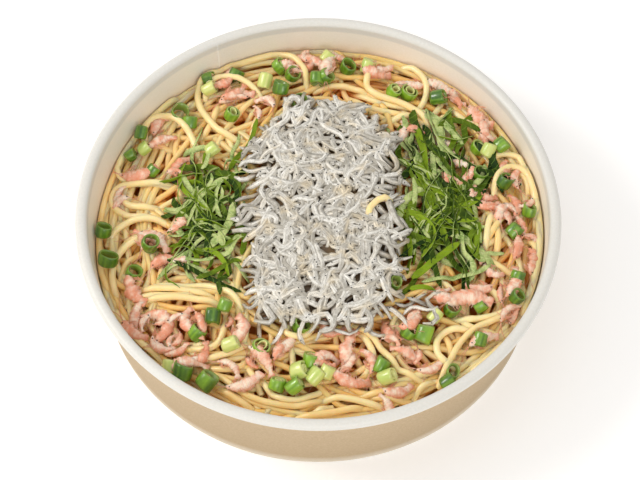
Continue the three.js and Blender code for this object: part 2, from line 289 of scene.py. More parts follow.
curl_middle = np.array([RIM_RADIUS, RIM_HEIGHT]) - CURL


def wall_radius(height):
    """Outside of the straight flared wall: it grows evenly from the foot to the rolled rim."""
    top = curl_middle[0] - CURL[0] + PAPER
    return FOOT_RADIUS + (top - FOOT_RADIUS) * height / curl_middle[1]


def inside_radius(height):
    """Inside of the wall: its outside less the paper's thickness."""
    return wall_radius(height) - PAPER


def unit(angle):
    """The point (cos a, sin a) of the unit circle at each angle a."""
    return np.stack([np.cos(angle), np.sin(angle)], axis=-1)


def arc(middle, half_sizes, start, end, steps):
    """Points of an elliptical arc between two angles in degrees: middle + half sizes * unit(a)."""
    return middle + half_sizes * unit(np.radians(np.linspace(start, end, steps)))


base_top = BASE_HEIGHT + PAPER
wall_heights = np.linspace(0.0006, curl_middle[1] - 0.0016, 9)
inner_heights = np.linspace(curl_middle[1], base_top + 0.002, 42)
fold_radius = FOOT_RADIUS - FOOT_FOLD
outer_side = np.concatenate([
    [[0, BASE_HEIGHT], [FOOT_RADIUS * 0.5, BASE_HEIGHT]],
    [[fold_radius - 0.0008, BASE_HEIGHT], [fold_radius, BASE_HEIGHT - 0.0008]],
    [[fold_radius, 0.0003], [fold_radius + 0.0003, 0], [FOOT_RADIUS - 0.0004, 0]],
    np.stack([wall_radius(wall_heights), wall_heights], axis=1),
    [[wall_radius(curl_middle[1]) + 0.0001, curl_middle[1] - 0.0006]],
])
inner_side = np.concatenate([
    arc(curl_middle, CURL * 0.78, start=-160, end=-160, steps=1),
    arc(curl_middle, CURL, start=-138, end=178, steps=30),
    np.stack([inside_radius(inner_heights), inner_heights], axis=1),
    [[inside_radius(base_top) - 0.0012, base_top + 0.0003]],
    [[inside_radius(base_top) - 0.003, base_top], [FOOT_RADIUS * 0.5, base_top], [0, base_top]],
])


def joined_rows(here, ahead):
    """Two triangles for each quad between rows of corner numbers that close round and the rows
    ahead of them."""
    quads = np.stack([here, np.roll(here, -1, 1), np.roll(ahead, -1, 1), ahead], axis=-1)
    quads = quads.reshape(-1, 4)
    return np.concatenate([quads[:, [0, 1, 2]], quads[:, [0, 2, 3]]])


def closed_faces(rows, sides):
    """Triangles of a closed skin: rings of corners joined row to row, and both end rings joined to
    one more corner each."""
    corner = np.arange(rows * sides).reshape(rows, sides)
    start, end = corner[0], corner[-1]
    return np.concatenate([
        joined_rows(corner[:-1], corner[1:]),
        np.stack([np.full(sides, rows * sides), np.roll(start, -1), start], axis=1),
        np.stack([np.full(sides, rows * sides + 1), end, np.roll(end, -1)], axis=1),
    ])


def turned(profile, angles):
    """A profile of (radius, height) turned about +Z: corner = (r cos a, r sin a, z). The first and
    last points lie on the axis and are one corner each."""
    rows, columns = len(profile) - 2, len(angles)
    body = np.concatenate([
        profile[1:-1, None, :1] * unit(angles),
        np.broadcast_to(profile[1:-1, None, 1:], (rows, columns, 1)),
    ], axis=2).reshape(-1, 3)
    poles = np.array([[0, 0, profile[0, 1]], [0, 0, profile[-1, 1]]])
    return np.concatenate([body, poles]), closed_faces(rows, columns)


seam_angles = SEAM_AT + np.array([-0.0002, 0.0, 0.0003, 0.0006]) / FOOT_RADIUS
round_angles = np.sort(
    np.concatenate([np.linspace(0, 2 * np.pi, ROUND_STEPS, endpoint=False), seam_angles])
)
bowl_profile = np.concatenate([outer_side, inner_side])
bowl_corners, bowl_faces = turned(bowl_profile, round_angles)
is_lining = np.arange(len(bowl_profile)) >= len(outer_side)
on_curl = is_lining & (np.abs(bowl_profile[:, 1] - curl_middle[1]) < CURL[1] * 1.01)
near_foot = bowl_profile[:, 0] > FOOT_RADIUS * 0.9
# the paper's pale edge where the wall folds in at the foot, made brighter still as a painted
# highlight
foot_edge = np.exp(-((bowl_profile[:, 1] / 0.0015) ** 2)) * near_foot


def per_ring(values):
    """One number per profile point as one per corner of the turned bowl."""
    return np.concatenate([np.repeat(values[1:-1], len(round_angles)), values[[0, -1]]])


# the lapped edge of the wall's seam stands out, and the lap falls away from it over its width
lap = (np.arctan2(bowl_corners[:, 1], bowl_corners[:, 0]) - SEAM_AT) * FOOT_RADIUS
outside_foot = bowl_profile[:, 0] > FOOT_RADIUS * 0.99
on_wall = per_ring(~is_lining & (bowl_profile[:, 1] < SEAM_TOP) & outside_foot)
raised = np.clip(lap / SEAM_STEP, 0, 1) * np.clip((SEAM_LAP - lap) / SEAM_LAP, 0, 1) * on_wall
bowl_corners[:, :2] *= 1 + (SEAM_STEP * raised / RIM_RADIUS)[:, None]

# oil from the pasta with a painted warm glow of the pasta's light over it: a wide faint stain on
# the lining, and a line of it along the heap's edge, which lies higher on one side
heap_edge = OIL_AND_GLOW_LINE + OIL_AND_GLOW_LEAN * bowl_corners[:, 0] / FOOT_RADIUS
oil_and_glow_wide = np.exp(-np.maximum(bowl_corners[:, 2] - OIL_AND_GLOW_TOP, 0) / OIL_AND_GLOW_TOP_FADE)
oil_and_glow_line = 1.7 * np.exp(-np.maximum(bowl_corners[:, 2] - heap_edge, 0) / OIL_AND_GLOW_FADE)
oiled = np.maximum(oil_and_glow_wide, oil_and_glow_line) * per_ring(is_lining)

paper = Material(
    "paperboard", Roughness=0.62, Subsurface_Weight=0.06, Subsurface_Scale=0.002,
    Subsurface_Radius=(1.0, 0.8, 0.6),
)
fibres = paper.noise(0.0009, 4.0, (1.0, 1.0, 2.6))
flecks = paper.noise(0.00035, 2.0)
brown = fibres.between(0.3, 0.72).blend(colour(180, 156, 122), colour(199, 176, 142))
# painted shade: the brown outside is painted darker towards the foot
brown = (paper.attribute("low") * 0.5).blend(brown, colour(160, 138, 104))
brown = (flecks.between(0.6, 0.78) * 0.8).blend(brown, colour(164, 138, 104))
# pale fold at the foot with a painted highlight along it
brown = paper.attribute("foot_edge").blend(brown, colour(222, 212, 194))
white = fibres.between(0.2, 0.8).blend(colour(236, 230, 217), colour(242, 237, 227))
# painted shade: the rolled rim is painted greyer than the lining of the same paper
rolled = fibres.between(0.2, 0.8).blend(colour(216, 214, 207), colour(223, 221, 215))
white = paper.attribute("curl").blend(white, rolled)
# oil stain and painted warm glow from the pasta on the lining
white = (paper.attribute("oiled") * 0.45).blend(white, colour(236, 203, 152))
lining = paper.attribute("lining")
paper.drive(
    Base_Color=lining.between(0.3, 0.7).blend(brown, white),
    Roughness=0.7 - lining * 0.25 - fibres * 0.1,
)
paper.bump(fibres * 0.6 + flecks * 0.4, 0.00006)
mesh_piece(
    "paper_bowl", bowl_corners, bowl_faces, paper, "paper", ["bowl"],
    lining=per_ring(is_lining), foot_edge=per_ring(foot_edge), curl=per_ring(on_curl),
    low=per_ring(1 - bowl_profile[:, 1] / RIM_HEIGHT), oiled=oiled,
)

# ---------------------------------------------------------------- spaghetti
# Cooked thin spaghetti in oil: long limp strands lying over and under each other. Each strand is
# laid in turn on the ground that the ones before it made, from a solid core at the bottom upwards.

EDGE_HEIGHT = 0.0275
CROWN_HEIGHT = 0.0355
LEAN = 0.004
LEAN_TOWARDS = np.radians(30)
SPREAD = 0.0887  # radius of the heap where it meets the wall
CORE_DEPTH = 0.0080  # the core lies this far under the heap's surface, less under the toppings
COVERED_DEPTH = 0.0046
STRAND = 0.00133  # radius
STRAND_CLEAR = STRAND + 0.0001  # of its middle from the wall
STRAND_STIFFNESS = 0.0016  # it bridges gaps of twice this
STRAND_GIVE = 0.0028  # what lies too high is squeezed into this
DUCK_DEPTH = 0.0024  # under the toppings
TUCK_DEPTH = 0.0035  # of its ends, over the last TUCK_LENGTH
TUCK_LENGTH = 0.009
BUNDLE = 3
BUNDLE_PITCH = 0.0027
WANDER_STEP = 0.0015
CHOICES = 8
PLAN_STEP = 0.001


def heap_height(x, y):
    """A low dome, edge + (crown - edge)(1 - r²/R²), that leans evenly towards one side."""
    share = (x * x + y * y) / SPREAD**2
    side = x * np.cos(LEAN_TOWARDS) + y * np.sin(LEAN_TOWARDS)
    return EDGE_HEIGHT + (CROWN_HEIGHT - EDGE_HEIGHT) * (1 - share) + LEAN * side / SPREAD


def evenly(path, spacing):
    """The same path with its points at even spacing along its length."""
    run = np.append(0, np.cumsum(np.linalg.norm(np.diff(path, axis=0), axis=1)))
    at = np.linspace(0, run[-1], max(4, int(round(run[-1] / spacing)) + 1))
    return np.stack([np.interp(at, run, column) for column in path.T], axis=1)


def resampled(path, count):
    """The same path with that many points, evenly spaced."""
    at = np.linspace(0, len(path) - 1, count)
    return np.stack([np.interp(at, np.arange(len(path)), column) for column in path.T], axis=1)


def softened(values, width, mode="reflect"):
    """Each number averaged with its neighbours under a bell curve of that width in samples. Ends
    are continued point-symmetrically, or held if mode is edge."""
    reach = min(int(3 * width), len(values) - 1)
    bell = np.exp(-0.5 * (np.arange(-reach, reach + 1) / width) ** 2)
    symmetry = {"reflect_type": "odd"} if mode == "reflect" else {}
    padded = np.pad(values, reach, mode=mode, **symmetry)
    return np.convolve(padded, bell / bell.sum(), mode="valid")


def smoothstep(value, low, high):
    """0 below low, 1 above high, and t²(3 - 2t) at a share t of the way between."""
    share = np.clip((value - low) / (high - low), 0, 1)
    return share * share * (3 - 2 * share)


class Pile:
    """The upper surface of all that lies in the bowl, as heights on a square grid. A piece comes to
    rest on it, and laying the piece raises it."""

    CELL = 0.0005
    REACH = 0.097

    def __init__(self, height):
        ticks = np.arange(-self.REACH, self.REACH, self.CELL)
        self.grid = np.meshgrid(ticks, ticks)
        self.ground = height(*self.grid)

    def cells(self, points):
        """Row and column of the grid cell that each point falls in."""
        at = np.rint((points + self.REACH) / self.CELL).astype(int).clip(0, len(self.ground) - 1)
        return at[..., 1], at[..., 0]

    def height(self, x, y):
        """The ground's height in the cell of each place."""
        return self.ground[self.cells(np.stack([x, y], axis=-1))]

    def under(self, path, radius):
        """Grid cells across a round piece, and how far its skin lies above its middle at each:
        the root of (r² - d²) at a distance d from its path."""
        ahead = np.gradient(path[:, :2], axis=0)
        ahead /= np.linalg.norm(ahead, axis=1, keepdims=True) + 1e-12
        aside = np.stack([-ahead[:, 1], ahead[:, 0]], axis=1)
        share = np.linspace(-0.95, 0.95, 7)
        radius = np.broadcast_to(radius, len(path))[:, None]
        points = path[:, None, :2] + aside[:, None] * (radius * share)[..., None]
        return self.cells(points), radius * np.sqrt(1 - share**2)

    def resting(self, path, radius, stiffness):
        """Height of the middle of a piece laid along a path: the highest ground under it within
        its stiffness, smoothed over the same length. The points are CELL apart."""
        cells, skin = self.under(path, radius)
        needed = (self.ground[cells] + skin).max(axis=1)
        reach = min(max(1, int(stiffness / self.CELL)), len(path) // 2)
        padded = np.pad(needed, reach, mode="edge")
        bridged = np.lib.stride_tricks.sliding_window_view(padded, 2 * reach + 1).max(axis=1)
        return softened(bridged, reach * 0.9, "edge")

    def lay(self, path, radius):
        """Raises the ground to the upper skin of a piece along a path of (x, y, z)."""
        cells, skin = self.under(path, radius)
        np.maximum.at(self.ground, cells, path[:, 2:] + skin)


covers = [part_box(name) for name in ("whitebait", "leaf_left", "leaf_right")]


def covered(x, y, covers=covers):
    """1 under the toppings that lie on the pasta as a heap, 0 beside them: their outlines are
    superellipses, x⁴/a⁴ + y⁴/b⁴ = 1, in their boxes."""
    share = np.zeros(np.shape(x))
    for low, high in covers:
        across = (2 * x - low.x - high.x) / (high.x - low.x)
        along = (2 * y - low.y - high.y) / (high.y - low.y)
        out = (across**4 + along**4) ** 0.25
        share = np.maximum(share, 1 - smoothstep(out, 0.72, 1.04))
    return share


def core_height(x, y):
    """The heap's surface lowered by the core's depth, which is less under the toppings."""
    return heap_height(x, y) - CORE_DEPTH + (CORE_DEPTH - COVERED_DEPTH) * covered(x, y)


pile = Pile(core_height)


def inside_bowl(path, clear):
    """A path moved inwards where it would come nearer to the wall than that."""
    limit = inside_radius(path[:, 2:] - clear) - clear if path.shape[1] > 2 else SPREAD - clear
    far = np.linalg.norm(path[:, :2], axis=1, keepdims=True)
    moved = path.copy()
    moved[:, :2] *= np.minimum(1, limit / np.maximum(far, 1e-6))
    return moved


def pressed(path, height, lift, give):
    """Pieces press into those below: what stands higher than that lift above the heap's surface is
    squeezed from t to give * (1 - exp(-t / give))."""
    level = heap_height(*path[:, :2].T) + lift
    above = np.maximum(height - level, 0)
    return np.minimum(height, level) + give * (1 - np.exp(-above / give))


def lay_strand(path, level, give, clear=STRAND_CLEAR):
    """Lays one strand on the pile along a plan path, at least that far above the heap's surface,
    with its ends tucked under, and returns its line. Under the toppings it ducks."""
    path = inside_bowl(evenly(path, Pile.CELL), clear)
    hidden = covered(*path.T)
    level = level - (level + DUCK_DEPTH) * hidden
    height = pile.resting(path, STRAND, STRAND_STIFFNESS)
    height = np.maximum(height, heap_height(*path.T) + level)
    height = pressed(path, height, level, give - (give - 0.0008) * hidden)
    run = np.arange(len(path)) * Pile.CELL
    height = height - TUCK_DEPTH * (1 - smoothstep(np.minimum(run, run[::-1]), 0, TUCK_LENGTH))
    line = inside_bowl(np.column_stack([path, height]), clear)
    pile.lay(line, STRAND)
    return line


def leftwards(heading):
    """The direction a quarter turn to the left of each heading h: (-sin h, cos h)."""
    return np.stack([-np.sin(heading), np.cos(heading)], axis=-1)


def wandering(count, steps, rng, tight):
    """Plan paths of loose strands, all at once: the heading turns by a sum of slow waves, and near
    the wall it turns along it. Strands come in bundles that bend alike."""
    bundle = np.arange(count) // BUNDLE
    many = bundle.max() + 1
    angle = rng.uniform(0, 2 * np.pi, many)[bundle]
    far = (SPREAD * 0.93 * np.sqrt(rng.uniform(0.02, 1, many)))[bundle]
    place = far[:, None] * unit(angle)
    heading = rng.uniform(0, 2 * np.pi, many)[bundle] + rng.normal(0, 0.1, count)
    offset = (np.arange(count) % BUNDLE - 1) * BUNDLE_PITCH + rng.normal(0, 0.0006, count)
    place += offset[:, None] * leftwards(heading)
    waves = 3
    length = rng.uniform(0.045, 0.14, (many, waves))[bundle]
    phase = rng.uniform(0, 2 * np.pi, (many, waves))[bundle] + rng.normal(0, 0.15, (count, waves))
    sharp = (rng.uniform(0.3, 1, (many, waves)) * tight)[bundle]
    points = np.empty((steps, count, 2))
    for number in range(steps):
        points[number] = place
        ahead = unit(heading)
        out = place / (np.linalg.norm(place, axis=1, keepdims=True) + 1e-9)
        outward = (ahead * out).sum(axis=1)
        turning = np.sign(out[:, 0] * ahead[:, 1] - out[:, 1] * ahead[:, 0])
        near = smoothstep(np.linalg.norm(place, axis=1), SPREAD * 0.72, SPREAD * 0.99)
        bend = (sharp * np.sin(2 * np.pi * number * WANDER_STEP / length + phase)).sum(axis=1)
        wall_bend = turning * (1 / SPREAD + 110 * np.maximum(0, outward + 0.12))
        heading = heading + WANDER_STEP * (bend * (1 - near) + wall_bend * near)
        place = place + WANDER_STEP * ahead
    return points.transpose(1, 0, 2)


def laid_loosely(count, seed, steps, tight, levels):
    """Strands laid one by one at rising levels, each the one of some choices that finds most free
    room at its level and stays out from under the whitebait."""
    rng = np.random.default_rng(seed)
    choices = wandering(count * CHOICES, steps, rng, tight).reshape(CHOICES, count, steps, 2)
    lines = []
    for options, level in zip(choices.transpose(1, 0, 2, 3), np.linspace(*levels, count)):
        taken = [(pile.height(*p.T) > heap_height(*p.T) + level).mean() for p in options]
        hidden = [(covered(*p.T, covers[:1]) > 0.8).mean() for p in options]
        best = np.argmin([full + 0.35 * under for full, under in zip(taken, hidden)])
        lines.append(lay_strand(options[best], level, STRAND_GIVE))
    return lines


def repeated(faces, count, corners_each):
    """The same faces for that many copies, whose corners follow on from each other."""
    return (faces[None] + (np.arange(count) * corners_each)[:, None, None]).reshape(-1, 3)


def swept(middle, aside, up, outline):
    """Closed rods: corner = middle + aside * outline_x + up * outline_y, for each rod, each step
    along it and each corner of its section. Both ends are closed on their middle. Returns corners,
    faces and the corners of one rod."""
    rods, steps, sides = outline.shape[:3]
    rings = middle[:, :, None] + aside[:, :, None] * outline[..., :1]
    rings = rings + up[:, :, None] * outline[..., 1:]
    corners = np.concatenate([rings.reshape(rods, -1, 3), middle[:, [0, -1]]], axis=1)
    per_rod = steps * sides + 2
    return corners.reshape(-1, 3), repeated(closed_faces(steps, sides), rods, per_rod), per_rod


def directions(middle):
    """Unit vectors ahead, to the left and up along paths (rod, step, xyz) that never stand
    upright."""
    ahead = np.gradient(middle, axis=1)
    ahead /= np.linalg.norm(ahead, axis=2, keepdims=True) + 1e-12
    aside = np.cross([0.0, 0.0, 1.0], ahead)
    aside /= np.linalg.norm(aside, axis=2, keepdims=True) + 1e-12
    return ahead, aside, np.cross(ahead, aside)


def circle(sides):
    """Points of the unit circle at even angles, as the corners of a section."""
    return unit(np.arange(sides) * 2 * np.pi / sides)


def rounded_ends(steps, length, radius):
    """Share of the full radius at each step of a rod whose ends are domes: the root of
    1 - (1 - s/r)² at a distance s from the end."""
    run = np.linspace(0, length, steps)
    near = np.minimum(run, length - run)
    return np.sqrt(np.clip(1 - (1 - np.minimum(near / radius, 1)) ** 2, 0.04, 1))


def strands_piece(name, lines, steps, sides, golden):
    """One mesh of all these strands, with tint, one draw per strand up to golden, and depth, 1 well
    under the heap's surface, which the material paints as shade."""
    rng = np.random.default_rng(len(lines))
    middle = np.stack([resampled(line, steps) for line in lines])
    _, aside, up = directions(middle)
    radius = STRAND * rounded_ends(steps, 0.16, STRAND) * rng.uniform(0.93, 1.06, (len(lines), 1))
    corners, faces, per_rod = swept(middle, aside, up, radius[..., None, None] * circle(sides))
    # depth under the heap's surface, for painted shade on the deeper strands
    depth = (heap_height(*corners[:, :2].T) + 0.0005 - corners[:, 2]) / 0.006
    mesh_piece(
        name, corners, faces, pasta, "pasta", ["pasta"],
        tint=np.repeat(rng.uniform(0, golden, len(lines)), per_rod), depth=depth.clip(0, 1),
    )


pasta = Material(
    "cooked_pasta", Specular_IOR_Level=0.3, Subsurface_Weight=0.5, Subsurface_Scale=0.0022,
    Subsurface_Radius=(1.0, 0.62, 0.3), Coat_Weight=0.4, Coat_Roughness=0.12,
)
mottle = pasta.noise(0.005, 3.0)
grain = pasta.noise(0.0006, 2.0)
tint = pasta.attribute("tint")
depth = pasta.attribute("depth")
deeper = (tint * 0.8 + mottle * 0.5).between(0.2, 1.15)
pale = deeper.blend(colour(255, 229, 172), colour(252, 196, 110))
# painted shade: strands deeper under the heap's surface are painted darker and more orange
depth_painted_shade = depth.between(0.0, 0.86).blend(pale, colour(238, 140, 34))
pasta.drive(Base_Color=depth_painted_shade, Roughness=0.3 + grain * 0.16)
pasta.bump(grain, 0.00004)

under_lines = laid_loosely(84, seed=3, steps=120, tight=36.0, levels=(-0.0062, -0.0034))
under_lines += laid_loosely(26, seed=6, steps=60, tight=50.0, levels=(-0.0048, -0.0030))


def along_wall(count, seed):
    """Strands that follow the wall for a stretch and leave it a little towards both ends."""
    rng = np.random.default_rng(seed)
    share = np.linspace(-1, 1, 60)
    lines = []
    for middle in np.arange(count) * 2 * np.pi / count + rng.normal(0, 0.1, count):
        angle = middle + rng.uniform(0.4, 0.7) * share
        far = SPREAD - 0.0005 - rng.uniform(0.001, 0.006) * np.abs(share) ** 3
        lines.append(lay_strand(far[:, None] * unit(angle), level=-0.0014, give=STRAND_GIVE))
    return lines


upper_lines = along_wall(13, seed=9)
upper_lines += laid_loosely(54, seed=4, steps=100, tight=46.0, levels=(-0.0026, -0.0012))

# Strands that show plainly in the photograph, in its pixels, each from end to end of what shows.
SHOWN_STRANDS = [
    [(112, 300), (96, 262), (92, 215), (100, 170), (120, 132), (150, 104), (186, 93)],
    [(116, 175), (122, 140), (142, 112), (163, 97), (182, 96)],
    [(219, 100), (217, 112), (211, 126), (203, 138), (193, 142)],
    [(149, 135), (153, 143), (163, 148), (174, 149)],
    [(142, 145), (131, 140), (121, 145), (117, 155), (117, 168), (118, 178), (126, 184), (142, 186),
     (158, 186), (176, 186)],
    [(176, 184), (150, 186), (130, 187), (116, 190), (111, 200), (113, 210), (122, 216), (134, 219),
     (150, 219), (166, 217)],
    [(130, 190), (122, 196), (124, 205), (134, 209), (150, 209), (164, 206)],
    [(106, 246), (114, 232), (126, 225), (142, 221), (158, 221), (174, 226)],
    [(116, 252), (128, 242), (142, 236), (158, 235), (172, 240)],
    [(172, 239), (152, 238), (136, 242), (123, 250), (115, 262), (112, 276), (114, 290),
     (121, 304)],
    [(143, 250), (131, 260), (123, 270), (119, 284)],
    [(124, 307), (136, 301), (152, 297), (170, 297), (190, 295), (210, 292)],
    [(143, 287), (160, 288), (180, 288), (196, 284), (208, 284), (220, 288), (232, 295), (240, 304),
     (243, 318)],
    [(228, 313), (224, 326), (223, 338), (216, 347), (204, 352), (192, 350), (184, 343)],
    [(214, 340), (206, 346), (195, 346), (186, 341)],
    [(245, 306), (247, 318), (246, 331), (244, 343), (241, 356)],
    [(240, 310), (243, 325), (240, 340)],
    [(160, 364), (176, 366), (196, 363), (215, 359), (232, 354), (246, 346), (256, 338)],
    [(200, 366), (216, 370), (232, 371), (244, 366), (250, 354)],
    [(112, 305), (120, 318), (130, 332), (142, 345), (156, 355), (166, 362)],
    [(212, 384), (224, 392), (238, 401), (250, 408), (262, 413)],
    [(214, 370), (226, 382), (242, 394), (260, 402), (280, 406), (300, 408), (314, 403),
     (328, 396)],
    [(262, 372), (264, 386), (272, 396), (285, 402), (300, 402), (314, 396), (328, 387)],
    [(246, 360), (250, 372), (256, 382), (262, 394)],
    [(290, 417), (310, 417), (330, 414), (352, 410), (372, 406)],
    [(308, 417), (322, 409), (334, 405)],
    [(318, 400), (340, 398), (360, 402), (378, 408), (394, 408)],
    [(364, 380), (382, 384), (400, 384), (414, 378), (430, 374), (446, 366)],
    [(356, 396), (380, 394), (400, 388), (420, 380)],
    [(368, 396), (386, 400), (404, 402), (414, 399)],
    [(412, 404), (416, 392), (424, 386), (434, 382), (440, 376)],
    [(350, 326), (362, 332), (372, 348), (374, 362), (368, 372), (360, 378)],
    [(460, 308), (460, 318), (466, 327), (478, 331), (492, 334), (508, 338)],
    [(450, 318), (466, 321), (482, 320), (498, 316), (514, 310), (528, 300), (534, 290)],
    [(458, 290), (472, 288), (488, 289), (498, 296), (501, 306), (497, 316)],
    [(440, 326), (448, 342), (452, 356), (450, 366)],
    [(509, 336), (500, 348), (488, 360), (474, 371), (462, 378)],
    [(536, 230), (543, 250), (543, 268), (538, 284), (532, 296)],
    [(517, 246), (521, 240), (528, 240), (535, 248), (537, 262), (533, 276)],
    [(312, 90), (332, 86), (348, 86), (362, 91), (374, 96)],
    [(386, 124), (396, 118), (408, 116), (420, 112)],
    [(448, 104), (454, 114), (464, 123), (478, 129), (490, 136), (498, 142)],
    [(430, 122), (444, 118), (454, 111)],
    [(490, 172), (491, 160), (499, 156), (511, 156), (523, 162), (533, 172), (538, 188), (540, 206),
     (541, 226)],
    [(497, 196), (495, 184), (500, 175), (510, 171), (521, 176), (528, 188), (527, 206)],
    [(532, 178), (536, 196), (536, 214), (536, 232)],
    [(132, 292), (150, 291), (170, 291), (188, 291), (206, 294), (220, 300)],
    [(136, 303), (154, 301), (176, 299), (198, 300), (216, 304), (228, 312)],
    [(492, 264), (498, 248), (498, 232), (492, 216), (482, 204)],
    [(480, 246), (490, 236), (500, 222), (508, 206)],
    [(484, 258), (486, 240), (488, 224), (496, 206)],
    [(543, 210), (546, 236), (546, 260), (542, 282), (534, 302), (524, 318)],
]
WALL_STRANDS = [
    [(527, 156), (538, 176), (546, 200), (550, 226), (550, 250), (547, 272), (540, 292), (529, 310),
     (516, 324)],
]


def on_heap(pixels, lift):
    """Where pixels of the photograph fall on a surface that lies that far above the heap's."""
    return from_photo(pixels, lambda x, y: heap_height(x, y) + lift)


def smoothed(plan, width):
    """A plan path with both its coordinates softened."""
    return np.stack([softened(column, width) for column in plan.T], axis=1)


def laid_as_shown(drawn, level, give, clear=STRAND_CLEAR):
    """Strands along lines of the photograph, smoothed and laid on what lies there already."""
    plans = [evenly(on_heap(pixels, lift=0.001), PLAN_STEP) for pixels in drawn]
    plans = [smoothed(plan, width=2.2) for plan in plans]
    return [lay_strand(plan, level, give, clear) for plan in plans]


shown_lines = laid_as_shown(SHOWN_STRANDS, level=0.0002, give=0.005)
# these stick to the oily wall
shown_lines += laid_as_shown(WALL_STRANDS, level=0.0004, give=0.003, clear=STRAND * 0.8)

strands_piece("strands_below", under_lines, steps=84, sides=6, golden=1.0)
strands_piece("strands_above", upper_lines, steps=110, sides=8, golden=0.9)
strands_piece("strands_on_top", shown_lines, steps=64, sides=10, golden=0.55)


# the core: the heap's dome, lowered a little and uneven, closed down to the bowl's base
CORE_RINGS = 60
CORE_SIDES = 150
CORE_TOP = 1.0  # stands for the dome until its height is known
core_foot = base_top + 0.0006
core_radii = np.linspace(SPREAD - 0.001, 0, CORE_RINGS)
core_outline = np.concatenate([
    [[0, core_foot], [inside_radius(base_top) - 0.004, core_foot]],
    np.column_stack([core_radii, np.full(CORE_RINGS, CORE_TOP)]),
])
core_corners, core_faces = turned(
    core_outline, np.linspace(0, 2 * np.pi, CORE_SIDES, endpoint=False)
)
core_x, core_y, core_z = core_corners.T
swell = 0.0007 * np.sin(core_x / 0.0031 + 1) * np.sin(core_y / 0.0027)
dome = core_height(core_x, core_y) - 0.0002 + swell
core_corners[:, 2] = np.where(core_z == CORE_TOP, dome, core_z)
# the core is painted as pasta in painted shade, at a depth of 0.6
mesh_piece(
    "heap_core", core_corners, core_faces, pasta, "pasta",
    tint=np.full(len(core_corners), 0.5), depth=np.full(len(core_corners), 0.6),
)

# ---------------------------------------------------------------- spring onion
# Thin spring onion chopped across into short tubes. The green tops are one hollow skin; the paler
# stems have a second layer inside. Some stand with their hole up, and the rest lie among the pasta.

# In pixels of the photograph: x, y, then heading and lean from upright in degrees, radius and
# length in millimetres, and paleness from a dark top (0) to a white stem (1).
ONIONS = [
    (180, 115, 30, 25, 3.6, 4.0, 0.15), (190, 123, 80, 60, 2.6, 4.5, 0.2),
    (210, 91, 10, 70, 2.6, 5.5, 0.9), (205, 77, 20, 80, 2.6, 5.0, 0.1),
    (236, 76, 60, 75, 2.6, 5.0, 0.05), (232, 114, 10, 30, 2.7, 4.0, 0.3),
    (133, 134, 80, 70, 2.4, 5.0, 0.05), (145, 150, 40, 65, 2.4, 4.5, 0.75),
    (131, 156, 10, 75, 2.2, 4.0, 0.2), (265, 82, 70, 70, 2.6, 6.0, 0.95),
    (280, 67, 30, 55, 2.9, 4.5, 0.3), (293, 76, 0, 25, 2.8, 4.0, 0.15),
    (281, 90, 60, 50, 2.9, 5.0, 0.1), (299, 102, 0, 20, 3.0, 4.0, 0.1),
    (317, 80, 80, 80, 2.5, 5.5, 0.2), (212, 149, 20, 70, 2.4, 5.0, 0.8),
    (153, 171, 50, 60, 2.3, 4.0, 0.1), (102, 234, 80, 35, 2.9, 4.5, 0.1),
    (151, 246, 0, 25, 3.0, 4.0, 0.15), (348, 68, 20, 20, 2.9, 4.5, 0.1),
    (368, 68, 70, 60, 2.6, 6.0, 0.8), (409, 92, 0, 20, 3.1, 4.0, 0.35),
    (394, 92, 0, 35, 2.6, 4.0, 0.4), (438, 99, 10, 75, 2.6, 6.0, 0.1),
    (478, 146, 10, 20, 2.5, 4.0, 0.3), (488, 152, 60, 65, 2.5, 5.5, 0.85),
    (501, 147, 20, 70, 2.6, 5.0, 0.2), (480, 173, 0, 25, 2.8, 4.0, 0.15),
    (505, 183, 40, 45, 2.9, 5.0, 0.05), (529, 212, 80, 40, 2.5, 4.5, 0.2),
    (514, 232, 30, 70, 2.6, 5.5, 0.1), (328, 59, 60, 75, 2.5, 5.5, 0.9),
    (326, 78, 10, 55, 2.8, 4.0, 0.2), (395, 283, 0, 25, 2.4, 4.0, 0.2),
    (452, 308, 10, 25, 2.8, 4.5, 0.1), (409, 332, 40, 45, 2.6, 4.0, 0.2),
    (424, 334, 80, 70, 3.0, 7.0, 0.3), (435, 316, 60, 75, 2.4, 5.0, 0.9),
    (480, 304, 20, 70, 2.5, 5.0, 0.25), (517, 279, 70, 60, 2.5, 5.0, 0.15),
    (517, 299, 30, 35, 2.6, 4.0, 0.1), (480, 341, 80, 70, 2.5, 5.0, 0.2),
    (452, 373, 0, 25, 2.6, 4.0, 0.2), (448, 383, 20, 70, 2.5, 5.0, 0.1),
    (382, 366, 60, 70, 2.8, 6.0, 0.2), (387, 380, 10, 65, 2.7, 6.0, 0.85),
    (327, 374, 50, 70, 2.6, 5.5, 0.9), (151, 250, 0, 25, 3.0, 4.0, 0.1),
    (109, 263, 60, 30, 3.3, 4.5, 0.1), (134, 273, 30, 30, 2.8, 4.0, 0.1),
    (213, 318, 80, 70, 2.6, 6.0, 0.05), (197, 333, 20, 55, 2.8, 5.0, 0.2),
    (225, 307, 60, 65, 2.4, 5.0, 0.3), (261, 348, 0, 20, 3.0, 4.0, 0.35),
    (231, 348, 10, 75, 2.5, 6.0, 0.95), (301, 326, 20, 25, 2.9, 4.5, 0.2),
    (311, 361, 70, 60, 2.9, 5.5, 0.3), (299, 373, 20, 65, 2.8, 6.0, 0.85),
    (315, 378, 60, 75, 2.8, 6.0, 0.8), (295, 389, 40, 65, 2.6, 6.0, 0.3),
    (277, 386, 75, 60, 2.6, 5.0, 0.35), (207, 384, 30, 60, 3.0, 6.5, 0.2),
    (183, 374, 70, 50, 3.2, 6.0, 0.05), (169, 369, 80, 70, 2.5, 6.0, 0.9),
]
ONION_SKIN = 0.0007
ONION_SIDES = 22
DRAWN_RADIUS = 0.00112  # metres per millimetre above, which are drawn small
DRAWN_LEAN = 0.88  # the leans are drawn large
